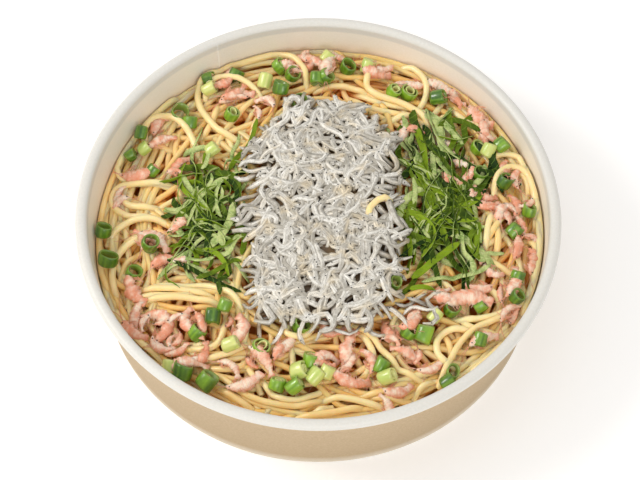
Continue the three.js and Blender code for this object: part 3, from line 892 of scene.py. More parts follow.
TWO_LAYERED_FROM = 0.25  # paleness


def settle(place, reach, half_height, sunk):
    """Height of the middle of a compact piece: the upper part of the ground below it, within its
    reach, plus its half height, less how far it has sunk in. The ground is raised to its top."""
    steps = np.arange(-reach, reach + Pile.CELL, Pile.CELL)
    across, along = np.meshgrid(steps, steps)
    disc = np.hypot(across, along) <= reach
    spots = place + np.stack([across[disc], along[disc]], axis=1)
    cells = pile.cells(spots)
    height = np.percentile(pile.ground[cells], 80) + half_height - sunk
    np.maximum.at(pile.ground, cells, height + half_height * 0.8)
    return height


def tube_rings(middle, axis, radius, length, skin, phase, oval):
    """Tubes with rounded rims: a closed section of eight points turned round each axis, oval by
    1 + o cos(2a + p). Returns corners (tube, section, side, xyz)."""
    helper = np.where(np.abs(axis[:, 2:]) > 0.7, [[1.0, 0, 0]], [[0, 0, 1.0]])
    side = np.cross(axis, helper)
    side /= np.linalg.norm(side, axis=1, keepdims=True)
    third = np.cross(axis, side)
    angle = np.arange(ONION_SIDES) * 2 * np.pi / ONION_SIDES
    along = np.array([-0.5, -0.35, 0.0, 0.35, 0.5, 0.42, 0.0, -0.42])[:, None]
    inwards = np.array([0.35, 0.0, -0.06, 0.0, 0.35, 1.0, 1.0, 1.0])[:, None]
    shape = 1 + oval[:, None] * np.cos(2 * angle + phase[:, None])
    ring = (radius[:, None, None] - skin * inwards) * shape[:, None]
    slant = 0.12 * radius[:, None] * np.cos(angle + phase[:, None])
    run = along * length[:, None, None] + np.sign(along) * slant[:, None]
    return (
        middle[:, None, None]
        + axis[:, None, None] * run[..., None]
        + side[:, None, None] * (ring * np.cos(angle))[..., None]
        + third[:, None, None] * (ring * np.sin(angle))[..., None]
    )


def ring_faces(tubes, rows, sides):
    """Triangles of closed tubes whose section is a loop: every row is joined to the next one, and
    the last to the first."""
    corner = np.arange(rows * sides).reshape(rows, sides)
    return repeated(joined_rows(np.roll(corner, -1, 0), corner), tubes, rows * sides)


onion_rows = np.array(ONIONS, float)
onion_rng = np.random.default_rng(21)
onion_plan = on_heap(onion_rows[:, :2], lift=0.003)
onion_plan *= np.minimum(1, (SPREAD - 0.0035) / np.linalg.norm(onion_plan, axis=1))[:, None]
onion_heading = np.radians(onion_rows[:, 2] + onion_rng.uniform(-15, 15, len(onion_rows)))
onion_lean = np.radians(onion_rows[:, 3] * DRAWN_LEAN)
onion_radius, onion_length = onion_rows[:, 4] * DRAWN_RADIUS, onion_rows[:, 5] / 1000
onion_axis = np.column_stack([
    np.sin(onion_lean)[:, None] * unit(onion_heading), np.cos(onion_lean)
])
half_heights = np.cos(onion_lean) * onion_length / 2 + np.sin(onion_lean) * onion_radius
onion_heights = [
    settle(place, reach * 0.8, half, sunk=0.0010)
    for place, reach, half in zip(onion_plan, onion_radius, half_heights)
]
onion_middle = np.column_stack([onion_plan, onion_heights])
outer_tubes = tube_rings(
    onion_middle, onion_axis, onion_radius, onion_length, ONION_SKIN,
    onion_rng.uniform(0, 6, len(onion_rows)), onion_rng.uniform(0, 0.14, len(onion_rows)),
)
layered = onion_rows[:, 6] > TWO_LAYERED_FROM
inner_tubes = tube_rings(
    onion_middle[layered], onion_axis[layered], onion_radius[layered] * 0.62,
    onion_length[layered] * 0.96, ONION_SKIN * 0.8,
    onion_rng.uniform(0, 6, layered.sum()), onion_rng.uniform(0, 0.2, layered.sum()),
)
onion_corners = np.concatenate([outer_tubes, inner_tubes])
onion_pale = np.concatenate([onion_rows[:, 6], np.minimum(1, onion_rows[layered, 6] + 0.25)])
onion_inner = np.array([0.7, 0.1, 0.0, 0.1, 0.7, 1.0, 1.0, 1.0])
per_tube = onion_corners.shape[1] * onion_corners.shape[2]
onion_streaks = np.broadcast_to(
    onion_rng.uniform(0, 1, (len(onion_corners), 1, ONION_SIDES)), onion_corners.shape[:3]
)

onion = Material(
    "spring_onion", Subsurface_Weight=0.15, Subsurface_Scale=0.0015,
    Subsurface_Radius=(0.8, 1.0, 0.25), Coat_Weight=0.6, Coat_Roughness=0.12,
)
paleness = onion.attribute("paleness")
cut = onion.attribute("cut")
fibre = onion.noise(0.0012, 3.0)
streak = onion.attribute("streak")
lighter = (paleness + fibre * 0.2 + streak * 0.3).between(0.12, 0.75)
skin = lighter.blend(colour(40, 88, 4), colour(140, 184, 44))
skin = (paleness.between(0.5, 0.95) * (1 - streak * 0.45)).blend(skin, colour(224, 226, 140))
inner = paleness.between(0.0, 0.8).blend(colour(112, 144, 40), colour(226, 226, 150))
onion.drive(
    Base_Color=(cut + fibre * 0.4 - 0.2).between(0.1, 0.9).blend(skin, inner),
    Roughness=0.24 + fibre * 0.2,
)
onion.bump(fibre, 0.0001)
mesh_piece(
    "spring_onion", onion_corners.reshape(-1, 3), ring_faces(len(onion_corners), 8, ONION_SIDES),
    onion, "spring_onion", ["pasta"],
    paleness=np.repeat(onion_pale, per_tube), streak=onion_streaks,
    cut=np.tile(np.repeat(onion_inner, ONION_SIDES), len(onion_corners)),
)

# ---------------------------------------------------------------- shrimps
# Small boiled shrimps in their shells, each curled on its side: a head shield, six overlapping
# rings, a tail fan, thin legs along the inner side and two feelers. The larger ones lie where the
# model has them, and smaller ones and fragments lie between.

SHRIMP_STEPS = 30
SHRIMP_SIDES = 10
RINGS = 6
RINGS_FROM, RINGS_TO = 0.36, 0.84  # along the body
RING_WIDTH = (RINGS_TO - RINGS_FROM) / RINGS
LAST_LEG_OF_HEAD = 0.38
DRAWN_CURL = 1.25  # the curls below are drawn small
LEG_POINTS = 6
FEELER_POINTS = 10
CRUMPLES = 9
# In millimetres on the heap: x and y, then heading in degrees, length, and curl in degrees.
SMALL_SHRIMPS = [
    (-22, 60, 150, 12, 120), (-56, 29, 60, 13, -90), (-6, 80, 100, 11, 80), (26, 76, 20, 12, 90),
    (56, 62, -60, 12, 100), (38, 68, 170, 12, -80), (68, 45, -70, 13, 90), (79, 22, 80, 12, -100),
    (66, 14, -20, 12, 90), (80, 0, 100, 13, 60), (68, -20, -40, 12, 110), (74, -38, 40, 13, -80),
    (36, -43, 60, 15, 120), (28, -48, 130, 13, -100), (44, -62, 30, 14, 90), (31, -72, 10, 13, 80),
    (3, -60, 30, 14, -120), (20, -60, 110, 13, 90), (-12, -53, 40, 13, 100),
    (-33, -62, -40, 13, -80), (-30, -47, 70, 15, 130), (-54, -54, 20, 12, 90),
    (-50, -42, 100, 14, -100), (-62, -40, 160, 14, 90), (-60, -52, -30, 13, 110),
    (-70, -38, 80, 13, -60), (-56, 2, 70, 14, 100), (-60, -16, 10, 14, -90), (-70, -6, 110, 12, 80),
    (-40, 70, 30, 12, 90), (-80, 16, 80, 11, -70), (88, -18, 85, 11, 60), (50, -33, -10, 15, 90),
    (62, -28, 170, 14, -100), (-44, -57, 60, 13, 80), (6, -48, 0, 12, 100), (60, 24, 60, 12, 90),
    (-66, 50, 60, 12, -80), (50, 31, 100, 13, 70), (45, 22, 70, 12, -60), (56, 20, 30, 12, 100),
    (52, 38, 150, 11, 80), (66, 10, -20, 14, 100), (73, 6, 60, 13, -90), (33, 43, 65, 15, 60),
    (-9, 83, 20, 12, 90), (-3, 80, -30, 12, -80), (4, 77, 60, 11, 80), (-35, 64, 30, 13, 80),
    (78, 10, 100, 12, 80),
]


def curled(place, heading, length, curl):
    """A plan path that turns evenly by the curl over its length, with its middle at the place."""
    turn = heading + np.linspace(-curl / 2, curl / 2, 40)
    path = np.cumsum(unit(turn) * length / len(turn), axis=0)
    return path - path.mean(axis=0) + place


def node_path(name):
    """The line of a shrimp of the model in plan, head first: a parabola fitted to its corners along
    their longest direction. The tail fan is its flattest part."""
    corners = np.array([vertex.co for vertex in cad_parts[name].data.vertices])
    middle = corners[:, :2].mean(axis=0)
    _, axes = np.linalg.eigh(np.cov((corners[:, :2] - middle).T))
    along, across = ((corners[:, :2] - middle) @ axes).T[::-1]
    bend = np.polyfit(along, across, 2)
    run = np.linspace(along.min(), along.max(), 40)
    path = middle + np.stack([np.polyval(bend, run), run], axis=1) @ axes.T
    ends = [corners[abs(along - end) < np.ptp(along) / 4] for end in (along.min(), along.max())]
    thick = [np.ptp(end[:, 2] - heap_height(*end[:, :2].T)) for end in ends]
    return path if thick[0] > thick[1] else path[::-1]


def across_heap(path, radius, stiffness, lift, give):
    """A piece, with one radius or several along it, laid along a plan path and pressed into what
    carries it: its line."""
    path = inside_bowl(evenly(path, Pile.CELL), 0.003)
    radii = resampled(np.atleast_2d(radius).T, len(path))[:, 0]
    height = pressed(path, pile.resting(path, radii, stiffness), lift, give)
    line = np.column_stack([path, height])
    pile.lay(line, radii)
    return line


# half thickness along the body: head shield, rings that each overlap the next, and the fan
body_run = np.linspace(0, 1, SHRIMP_STEPS)
ring_phase = np.clip((body_run - RINGS_FROM) / (RINGS_TO - RINGS_FROM), 0, 1) * RINGS % 1.0
ringed = (body_run > RINGS_FROM) & (body_run < RINGS_TO)
overlap = np.where(ringed, 0.13 * (ring_phase - 0.4), 0)
girth = np.interp(
    body_run,
    [0, 0.05, 0.16, 0.3, 0.42, 0.6, 0.76, 0.86, 0.93, 1.0],
    [0.15, 0.4, 0.76, 0.94, 1.0, 0.93, 0.74, 0.5, 0.46, 0.3],
) * (1 + overlap)
deep = np.interp(body_run, [0, 0.3, 0.6, 0.86, 0.95, 1.0], [1.1, 1.25, 1.2, 1.1, 2.0, 2.6])
flat = np.interp(body_run, [0, 0.3, 0.6, 0.86, 0.95, 1.0], [0.8, 0.86, 0.9, 0.7, 0.34, 0.25])

shrimp_names = sorted(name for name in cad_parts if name.startswith("shrimp"))
shrimp_rng = np.random.default_rng(5)
shrimp_paths = [node_path(name) for name in shrimp_names]
for x, y, heading, length, curl in SMALL_SHRIMPS:
    shrimp_paths.append(curled(
        np.array([x, y]) / 1000, np.radians(heading), length / 1000, np.radians(curl) * DRAWN_CURL
    ))
for x, y, *_ in SMALL_SHRIMPS:  # and a fragment beside each of these
    place = np.array([x, y]) / 1000 + shrimp_rng.normal(0, 0.0042, 2)
    length = shrimp_rng.uniform(0.007, 0.0105)
    heading = shrimp_rng.uniform(0, 2 * np.pi)
    curl = shrimp_rng.choice([-1, 1]) * shrimp_rng.uniform(0.8, 2.4)
    shrimp_paths.append(curled(place, heading, length, curl))


def length_of(path):
    """The sum of the distances from each point of a path to the next."""
    return np.linalg.norm(np.diff(path, axis=0), axis=1).sum()


def spread_over(values, count):
    """A few numbers interpolated evenly to that many."""
    return np.interp(np.linspace(0, 1, count), np.linspace(0, 1, len(values)), values)


def rolled_over(aside, up, roll):
    """Both directions across a path turned about it by an angle r: a cos r + u sin r and
    u cos r - a sin r."""
    return aside * np.cos(roll) + up * np.sin(roll), up * np.cos(roll) - aside * np.sin(roll)


shrimp_lengths = np.array([length_of(path) for path in shrimp_paths])
shrimp_girths = shrimp_lengths * 0.128 * shrimp_rng.uniform(0.85, 1.15, len(shrimp_paths))
shrimp_lines = [
    across_heap(path, girth * half * 0.8, stiffness=0.003, lift=0.0012, give=0.0045)
    for path, half in zip(shrimp_paths, shrimp_girths)
]
shrimp_middle = np.stack([resampled(line, SHRIMP_STEPS) for line in shrimp_lines])
ahead, aside, up = directions(shrimp_middle)
belly = np.sign(np.cross(ahead[:, 5, :2], ahead[:, -5, :2]))
crumples = shrimp_rng.normal(0, 0.13, (len(shrimp_lines), CRUMPLES))
crumple = np.stack([spread_over(row, SHRIMP_STEPS) for row in crumples])
half_girth = shrimp_girths[:, None] * girth * (1 + crumple)
section = circle(SHRIMP_SIDES)
dents = 1 + shrimp_rng.normal(0, 0.1, (len(shrimp_lines), SHRIMP_STEPS, SHRIMP_SIDES, 1))
outline = half_girth[..., None, None] * section
outline = outline * np.stack([deep, flat], axis=1)[None, :, None] * dents
roll = shrimp_rng.uniform(-0.5, 0.5, (len(shrimp_lines), 1, 1))
aside_rolled, up_rolled = rolled_over(aside, up, roll)
body_corners, body_faces, per_body = swept(shrimp_middle, aside_rolled, up_rolled, outline)
towards_back = np.tile((section[:, 0] * -belly[:, None])[:, None], (1, SHRIMP_STEPS, 1))
back = np.concatenate([towards_back.reshape(len(belly), -1), np.zeros((len(belly), 2))], axis=1)
run_of = np.append(np.repeat(body_run, SHRIMP_SIDES), [0, 1])
shell = Material(
    "shrimp_shell", Roughness=0.32, Subsurface_Weight=0.3, Subsurface_Scale=0.0015,
    Subsurface_Radius=(1.0, 0.5, 0.35),
)
along_body = shell.attribute("along")
on_back = shell.attribute("back")
warmth = shell.attribute("warmth")
blotch = shell.noise(0.0024, 4.0)
speck = shell.noise(0.0005, 3.0)
rings = ((along_body - RINGS_FROM) / RING_WIDTH).applied("FRACT")
edge_of_ring = rings.between(0.72, 1.0) * along_body.between(0.3, 0.38)
edge_of_ring = edge_of_ring * (1 - along_body.between(0.8, 0.86))
warmer = (blotch * 1.2 + warmth * 0.35).between(0.45, 1.05)
pink = warmer.blend(colour(250, 228, 206), colour(232, 156, 122))
redder = edge_of_ring * 0.35 + along_body.between(0.88, 0.98) * 0.5
pink = redder.blend(pink, colour(228, 138, 102))
pink = (speck * 0.7 + on_back * 0.35).between(0.45, 0.85).blend(pink, colour(234, 150, 114))
pink = speck.between(0.62, 0.8).blend(pink, colour(250, 232, 216))
shell.drive(
    Base_Color=shell.attribute("dark").between(0.4, 0.6).blend(pink, colour(28, 20, 18)),
    Roughness=0.26 + speck * 0.22,
)
shell.bump(speck * 0.5 + blotch * 0.5, 0.00012)

# legs: five long ones under the head shield and five short paddles under the rings
leg_at = np.array([0.14, 0.19, 0.24, 0.29, 0.34, 0.42, 0.5, 0.58, 0.66, 0.74])
leg_length = np.array([0.2, 0.24, 0.25, 0.24, 0.2, 0.12, 0.12, 0.11, 0.1, 0.08])
step_of = (leg_at * (SHRIMP_STEPS - 1)).round().astype(int)
root = shrimp_middle[:, step_of]
out_from = aside_rolled[:, step_of] * belly[:, None, None]
forward = -ahead[:, step_of]
spread_up = shrimp_rng.uniform(-0.5, 0.1, (len(belly), len(leg_at), 1))
out = np.linspace(0, 1, LEG_POINTS)[:, None]
full_length = leg_length[:, None, None] * shrimp_lengths[:, None, None, None]
swing = np.where(leg_at < LAST_LEG_OF_HEAD, 1, -0.6)[:, None, None]
legs = (
    root[:, :, None]
    + out_from[:, :, None] * (half_girth[:, step_of, None, None] * 0.8 + full_length * out)
    + forward[:, :, None] * (full_length * (0.5 * out - 0.9 * out**2) * swing)
    + up_rolled[:, step_of, None] * (spread_up[..., None] * out * 0.0016)
)


def hairs(lines, radius, first, last):
    """Thin rods of four sides along lines (rod, step, xyz): the radius, times a share that goes
    evenly from the first to the last."""
    _, aside, up = directions(lines)
    thick = radius * np.linspace(first, last, lines.shape[1]) * np.ones((len(lines), 1))
    return swept(lines, aside, up, thick[..., None, None] * circle(4))[:2]


leg_corners, leg_faces = hairs(
    legs.reshape(-1, LEG_POINTS, 3), radius=0.00019, first=1.2, last=0.5
)

# feelers: two thin curved hairs from the head, lying over what is in front of it
feeler_run = np.linspace(0, 1, FEELER_POINTS)[:, None]
feelers = []
for number, line in enumerate(shrimp_middle):
    for way in (-1, 1):
        length = shrimp_lengths[number] * shrimp_rng.uniform(0.5, 0.9)
        sideways = way * shrimp_rng.uniform(0.2, 0.7)
        start, facing, left = line[1], -ahead[number, 1], aside[number, 1]
        plan = start + length * feeler_run * facing + length * sideways * feeler_run**2 * left
        plan = inside_bowl(plan, 0.001)
        rest = pile.height(plan[:, 0], plan[:, 1]) + 0.0003
        drop = softened(rest, 1.5, "edge") - start[2]
        plan[:, 2] = start[2] + drop * smoothstep(feeler_run[:, 0], 0, 0.6)
        feelers.append(plan)
feeler_corners, feeler_faces = hairs(np.stack(feelers), radius=0.00016, first=1.1, last=0.5)

# eyes: a black bead on each side of the head
EYE_RADIUS = 0.00033
EYE_SIDES = 5
SHRIMP_EYE_STEP = 3
bead = np.column_stack([circle(EYE_SIDES), np.zeros(EYE_SIDES)])
bead = np.concatenate([bead, [[0, 0, -1], [0, 0, 1]]])


def eyes_at(places):
    """A small bead at each place: one ring of corners and a pole below and above it."""
    corners = places[:, None] + bead * EYE_RADIUS
    return corners.reshape(-1, 3), repeated(closed_faces(1, EYE_SIDES), len(places), len(bead))


head_half = half_girth[:, SHRIMP_EYE_STEP, None]
eye_corners, eye_faces = eyes_at(np.concatenate([
    shrimp_middle[:, SHRIMP_EYE_STEP] + way * up_rolled[:, SHRIMP_EYE_STEP] * head_half * 0.8
    - belly[:, None] * aside_rolled[:, SHRIMP_EYE_STEP] * head_half * 0.3
    for way in (-1, 1)
]))


def joined(*parts):
    """One set of corners and faces from several."""
    starts = np.cumsum([0] + [len(corners) for corners, faces in parts[:-1]])
    return (
        np.concatenate([corners for corners, faces in parts]),
        np.concatenate([faces + start for (corners, faces), start in zip(parts, starts)]),
    )


def then(values, other, count):
    """Numbers for some corners, and then one other number for the rest."""
    return np.append(values, np.full(count, other))


warm = shrimp_rng.uniform(0, 1, len(belly))
others = len(leg_corners) + len(feeler_corners) + len(eye_corners)
shrimp_corners, shrimp_faces = joined(
    (body_corners, body_faces), (leg_corners, leg_faces), (feeler_corners, feeler_faces),
    (eye_corners, eye_faces),
)
mesh_piece(
    "shrimps", shrimp_corners, shrimp_faces, shell, "shrimp", shrimp_names,
    along=then(np.tile(run_of, len(belly)), 0.95, others), back=then(back, 0, others),
    warmth=then(np.repeat(warm, per_body), 0.8, others),
    dark=np.arange(len(shrimp_corners)) >= len(shrimp_corners) - len(eye_corners),
)

# ---------------------------------------------------------------- loops of spaghetti on top
# A few loops of the same spaghetti that ended up on top when the dish was filled. They lie over
# the shrimps and the spring onion and hold some of them down.

LOOPS_ON_TOP = [
    [(307, 90), (306, 76), (298, 64), (287, 58), (271, 58), (255, 61), (239, 66), (223, 72),
     (209, 78), (200, 88), (197, 100), (201, 112), (209, 124), (219, 133), (233, 139), (248, 141)],
    [(264, 101), (257, 91), (244, 84), (230, 81), (217, 82), (207, 90), (205, 102)],
    [(200, 167), (197, 150), (190, 136), (178, 124), (163, 119), (150, 124), (144, 135),
     (146, 150)],
    [(293, 312), (290, 325), (283, 336), (300, 341), (312, 334), (314, 318), (311, 308)],
    [(346, 322), (360, 328), (376, 340), (386, 358), (400, 372), (416, 382), (430, 384)],
    [(512, 316), (500, 320), (488, 325), (476, 330), (464, 339), (456, 350), (450, 362), (444, 374),
     (438, 390)],
    [(474, 332), (458, 329), (446, 331), (437, 339), (435, 350), (439, 361), (449, 368),
     (460, 370)],
    [(494, 202), (494, 186), (499, 176), (510, 170), (521, 172), (530, 182), (535, 198),
     (538, 216)],
    [(394, 70), (408, 68), (418, 74), (425, 84), (427, 96), (422, 106), (414, 110)],
    [(376, 70), (366, 80), (366, 90), (378, 98), (394, 102), (408, 108), (420, 114), (430, 124),
     (432, 132)],
]
loop_lines = laid_as_shown(LOOPS_ON_TOP, level=0.0008, give=0.006)
strands_piece("strands_looped", loop_lines, steps=64, sides=10, golden=0.3)

# ---------------------------------------------------------------- shredded leaf
# Green perilla cut into ribbons a few millimetres wide, dropped in two loose heaps. The leaf is
# thin, dark and finely veined above and pale grey-green below, and the ribbons twist and curl.

LEAF_THICK = 0.00028
RIBBON_STEPS = 26
SHADE_FROM = 0.0004  # how far under the top a ribbon starts to darken
SHADE_OVER = 0.0018
VEIN_PITCH = 0.0032
SMALL_VEIN_PITCH = 0.0016
FULL_TURN = 6.2832
DRAWN_WIDTH = 0.0008  # metres per millimetre below, which are drawn wide
# Width in millimetres, twist at each end in degrees, and the line in pixels of the photograph.
SHOWN_SHREDS = {
    "leaf_left": [
        (2.6, 40, -30, [(257, 115), (251, 138), (236, 155), (228, 166)]),
        (1.5, 80, 95, [(219, 164), (208, 168), (205, 178), (206, 198), (208, 218)]),
        (2.0, 60, 120, [(157, 181), (172, 177), (190, 171), (204, 171)]),
        (3.4, 10, 60, [(215, 171), (229, 170), (239, 178), (240, 197)]),
        (3.0, 150, 190, [(200, 184), (190, 198), (182, 209)]),
        (1.6, 70, 110, [(182, 178), (176, 190), (182, 205)]),
        (4.2, 170, 200, [(234, 199), (231, 216), (221, 233), (203, 248)]),
        (2.8, 10, -30, [(236, 214), (246, 231), (241, 250)]),
        (2.2, 30, 100, [(194, 218), (190, 233), (179, 248), (167, 267)]),
        (2.0, 60, 120, [(194, 218), (211, 218), (229, 227)]),
        (2.6, 20, 60, [(203, 247), (217, 249), (226, 261), (229, 273)]),
        (2.0, 40, 100, [(166, 266), (164, 276), (180, 286)]),
        (2.4, 20, 50, [(196, 273), (212, 269), (229, 261)]),
        (1.8, 60, 110, [(222, 176), (232, 182), (230, 195), (220, 197)]),
        (1.8, 20, 80, [(234, 216), (250, 212)]),
        (2.2, 130, 180, [(168, 262), (184, 254), (200, 258), (214, 254)]),
    ],
    "leaf_right": [
        (3.6, 10, 30, [(416, 124), (424, 146), (428, 170)]),
        (3.0, 170, 190, [(432, 130), (433, 152), (434, 180)]),
        (2.8, 160, 200, [(415, 172), (416, 192), (411, 218)]),
        (3.2, 20, -20, [(418, 176), (440, 190), (457, 196), (474, 212)]),
        (2.4, 30, 70, [(418, 192), (432, 192), (448, 186), (462, 190)]),
        (1.8, 80, 110, [(470, 150), (467, 172), (465, 196)]),
        (3.6, 20, 60, [(414, 212), (432, 222), (436, 236), (422, 255)]),
        (2.6, 150, 200, [(414, 216), (424, 230), (434, 242)]),
        (2.6, 30, -20, [(438, 219), (460, 220), (478, 216)]),
        (3.4, 10, 20, [(479, 220), (477, 236), (476, 254)]),
        (3.6, 15, -10, [(412, 274), (426, 264), (442, 252), (460, 240)]),
        (3.0, 150, 190, [(422, 277), (443, 272), (472, 272), (491, 261)]),
        (2.2, 170, 190, [(482, 252), (505, 248)]),
        (1.6, 70, 110, [(438, 134), (460, 138), (474, 131)]),
        (2.8, 20, 60, [(438, 124), (453, 116), (468, 120), (482, 130)]),
        (2.4, 20, -30, [(436, 200), (452, 206), (468, 204)]),
        (2.4, 160, 200, [(440, 232), (456, 230), (470, 238)]),
        (2.8, 10, 60, [(408, 232), (412, 250), (408, 270)]),
        (2.4, 30, 80, [(410, 285), (424, 282), (436, 288)]),
    ],
}
# How many, the seed, the heading and its spread in degrees, the bend over a shred's length, and
# the widest in millimetres.
LOOSE_SHREDS = {"leaf_left": (58, 31, 80, 60, 2.2, 2.8), "leaf_right": (92, 32, 108, 28, 0.7, 3.6)}
GAP_MIDDLE = np.array([0.052, 0.029])  # a place that no shred is centred on
GAP_RADIUS = 0.009


def ribbons(lines, widths, twists):
    """Thin ribbons along lines: the section is flat with rounded edges, cupped and rippled, and
    turned about the line by the twist. Ends narrow to a third. Returns corners and faces, how far
    each corner lies along and across its ribbon, its side, and the corners of one ribbon."""
    middle = np.stack([resampled(line, RIBBON_STEPS) for line in lines])
    _, aside, up = directions(middle)
    twist = np.stack([spread_over(angles, RIBBON_STEPS) for angles in twists])[..., None]
    run = np.linspace(0, 1, RIBBON_STEPS)
    taper = 0.35 + 0.65 * smoothstep(np.minimum(run, 1 - run), 0, 0.1)
    half = (np.array(widths)[:, None] * taper)[..., None] / 2
    across = np.array([-1, -0.94, -0.6, 0.0, 0.6, 0.94, 1, 0.94, 0.6, 0.0, -0.6, -0.94])
    lift = np.array([0, -1, -1, -1, -1, -1, 0, 1, 1, 1, 1, 1]) * LEAF_THICK / 2
    cup = 0.22 * half * np.abs(across)
    length = np.array([length_of(line) for line in lines])
    along = (run * length[:, None])[..., None] * np.ones(len(across))
    ripple = 0.08 * half * across * np.sin(along / 0.0009 + 2 * across + 40 * half[:, :1] / 0.001)
    outline = np.stack([half * across, lift + cup + ripple], axis=-1)
    corners, faces, per_ribbon = swept(middle, *rolled_over(aside, up, twist), outline)
    tips = np.zeros((len(lines), 2))
    placed = [
        np.concatenate([values.reshape(len(lines), -1), tips], axis=1).ravel()
        for values in (along, half * across, np.sign(lift) * np.ones(along.shape))
    ]
    return corners, faces, *placed, per_ribbon


def lay_shred(path, width, twist):
    """Lays one ribbon: where it is turned on edge its half width keeps it off the ground."""
    path = inside_bowl(evenly(path, Pile.CELL), 0.003)
    stands = np.abs(np.sin(spread_over(twist, len(path)))) * width / 2
    radius = LEAF_THICK / 2 + stands * 0.8
    height = pile.resting(path, np.maximum(radius, 0.0004), stiffness=0.002)
    height = pressed(path, height, lift=0.0012, give=0.0036)
    line = np.column_stack([path, height])
    pile.lay(line, np.minimum(radius, 0.0009))
    return line


leaf = Material(
    "perilla_leaf", Specular_IOR_Level=0.14, Subsurface_Weight=0.15, Subsurface_Scale=0.0008,
    Subsurface_Radius=(0.4, 1.0, 0.2),
)
along_shred = leaf.attribute("along")
across_shred = leaf.attribute("across")
upper = leaf.attribute("upper")
hue = leaf.attribute("hue")
patch = leaf.noise(0.004, 3.0)
crinkle = leaf.noise(0.0007, 3.0)
slanted = (along_shred + across_shred * 0.8 + patch * 0.002) / VEIN_PITCH
crossing = (along_shred * 0.9 - across_shred * 1.3 + crinkle * 0.001) / SMALL_VEIN_PITCH
vein = (slanted * FULL_TURN).applied("COSINE").between(0.93, 1.0)
small_vein = (crossing * FULL_TURN).applied("COSINE").between(0.8, 1.0)
lighter = (patch * 0.6 + hue * 0.9).between(0.3, 1.2)
dark_green = lighter.blend(colour(24, 50, 2), colour(134, 160, 30))
dark_green = (vein * 0.6).blend(dark_green, colour(128, 158, 62))
lighter = (patch + crinkle * 0.5).between(0.4, 1.0)
pale_green = lighter.blend(colour(108, 138, 60), colour(198, 208, 138))
pale_green = (vein * 0.7 + small_vein * 0.25).blend(pale_green, colour(206, 216, 156))
green = upper.between(-0.3, 0.3).blend(pale_green, dark_green)
# painted shade: ribbons that lie under others are painted darker, nearly black deep down
leaf.drive(
    Base_Color=(leaf.attribute("depth").between(0.0, 1.0) * 0.94).blend(green, colour(10, 14, 0)),
    Roughness=0.36 + crinkle * 0.25,
)
leaf.bump(crinkle * 0.5 + vein * 0.5 + small_vein * 0.2, 0.0001)


def plan_of(node):
    """Middle and half sizes of a node's box in plan."""
    low, high = (np.array([corner.x, corner.y]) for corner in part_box(node))
    return (low + high) / 2, (high - low) / 2


for node, shown in SHOWN_SHREDS.items():
    centre, half_size = plan_of(node)
    half_size = half_size * 0.9
    count, seed, towards, spread, curviness, widest = LOOSE_SHREDS[node]
    rng = np.random.default_rng(seed)
    lines, widths, twists = [], [], []
    for number in range(count):
        spot = rng.uniform(-1, 1, 2)
        spot *= rng.uniform(0.1, 0.86) / max(1e-6, np.abs(spot).max())
        from_gap = centre + spot * half_size - GAP_MIDDLE
        if np.linalg.norm(from_gap) < GAP_RADIUS:
            spot += from_gap / np.linalg.norm(from_gap) * GAP_RADIUS / half_size
        width = rng.uniform(0.0014, widest / 1000)
        face = rng.choice([0, 180], p=[0.65, 0.35])
        twist = np.radians(face + rng.normal(0, 24) + np.cumsum(rng.normal(0, 14, 5)))
        heading = np.radians(rng.normal(towards, spread))
        length = rng.uniform(0.016, 0.036)
        path = curled(centre + spot * half_size, heading, length, rng.normal(0, curviness))
        wave = 0.0012 * np.sin(np.linspace(0, rng.uniform(4, 10), len(path)) + rng.uniform(0, 6))
        path = path + wave[:, None] * leftwards(heading)
        lines.append(lay_shred(path, width, twist))
        widths.append(width)
        twists.append(twist)
    for wide, start, end, pixels in shown:
        plan = evenly(on_heap(pixels, lift=0.005), PLAN_STEP)
        plan = smoothed(plan, width=min(2.5, len(plan) / 6))
        twist = np.radians(np.linspace(start, end, 5) + rng.normal(0, 12, 5))
        lines.append(lay_shred(plan, wide * DRAWN_WIDTH, twist))
        widths.append(wide * DRAWN_WIDTH)
        twists.append(twist)
    corners, faces, along, across, upside, per_ribbon = ribbons(lines, widths, twists)
    # depth under the pile's top, for painted shade
    depth = (pile.height(*corners[:, :2].T) - SHADE_FROM - corners[:, 2]) / SHADE_OVER
    hues = np.concatenate([rng.uniform(0, 0.8, count), rng.uniform(0.35, 1, len(shown))])
    mesh_piece(
        node.replace("leaf", "shredded_leaf"), corners, faces, leaf, "leaf", [node],
        along=along, across=across, upper=upside, hue=np.repeat(hues, per_ribbon),
        depth=depth.clip(0, 1),
    )

# ---------------------------------------------------------------- whitebait
# Boiled whitebait, hundreds of slender young fish: blunt head with a black eye, body thickest
# behind it, and a long tapering tail. They lie bent and tangled in a band over the middle.

FISH_STEPS = 8
FISH_SIDES = 5
FISH_COUNT = 570
FISH_EYE_STEP = 1
STRAY_RADIUS = 0.0009
MOUND_THICK = 0.0042
MOUND_RINGS = 30
MOUND_SIDES = 90
SKIRT = -1  # stands for the mound's foot until its height is known
fish_centre, fish_half = plan_of("whitebait")
fish_run = np.linspace(0, 1, FISH_STEPS)
fish_girth = np.interp(
    fish_run,
    [0, 0.04, 0.12, 0.2, 0.26, 0.4, 0.6, 0.8, 0.93, 1.0],
    [0.4, 0.74, 1.0, 1.0, 0.92, 1.0, 0.94, 0.76, 0.5, 0.42],
)
fish_deep = np.interp(fish_run, [0, 0.2, 0.8, 0.93, 1.0], [1.0, 1.2, 1.25, 1.2, 1.7])
fish_flat = np.interp(fish_run, [0, 0.2, 0.8, 0.93, 1.0], [0.85, 0.8, 0.72, 0.6, 0.4])


def narrowed(along):
    """Share of the band's full width at a place along it from -1 to 1: its far end is narrower."""
    return 1 - 0.3 * smoothstep(along, 0.45, 1.0)


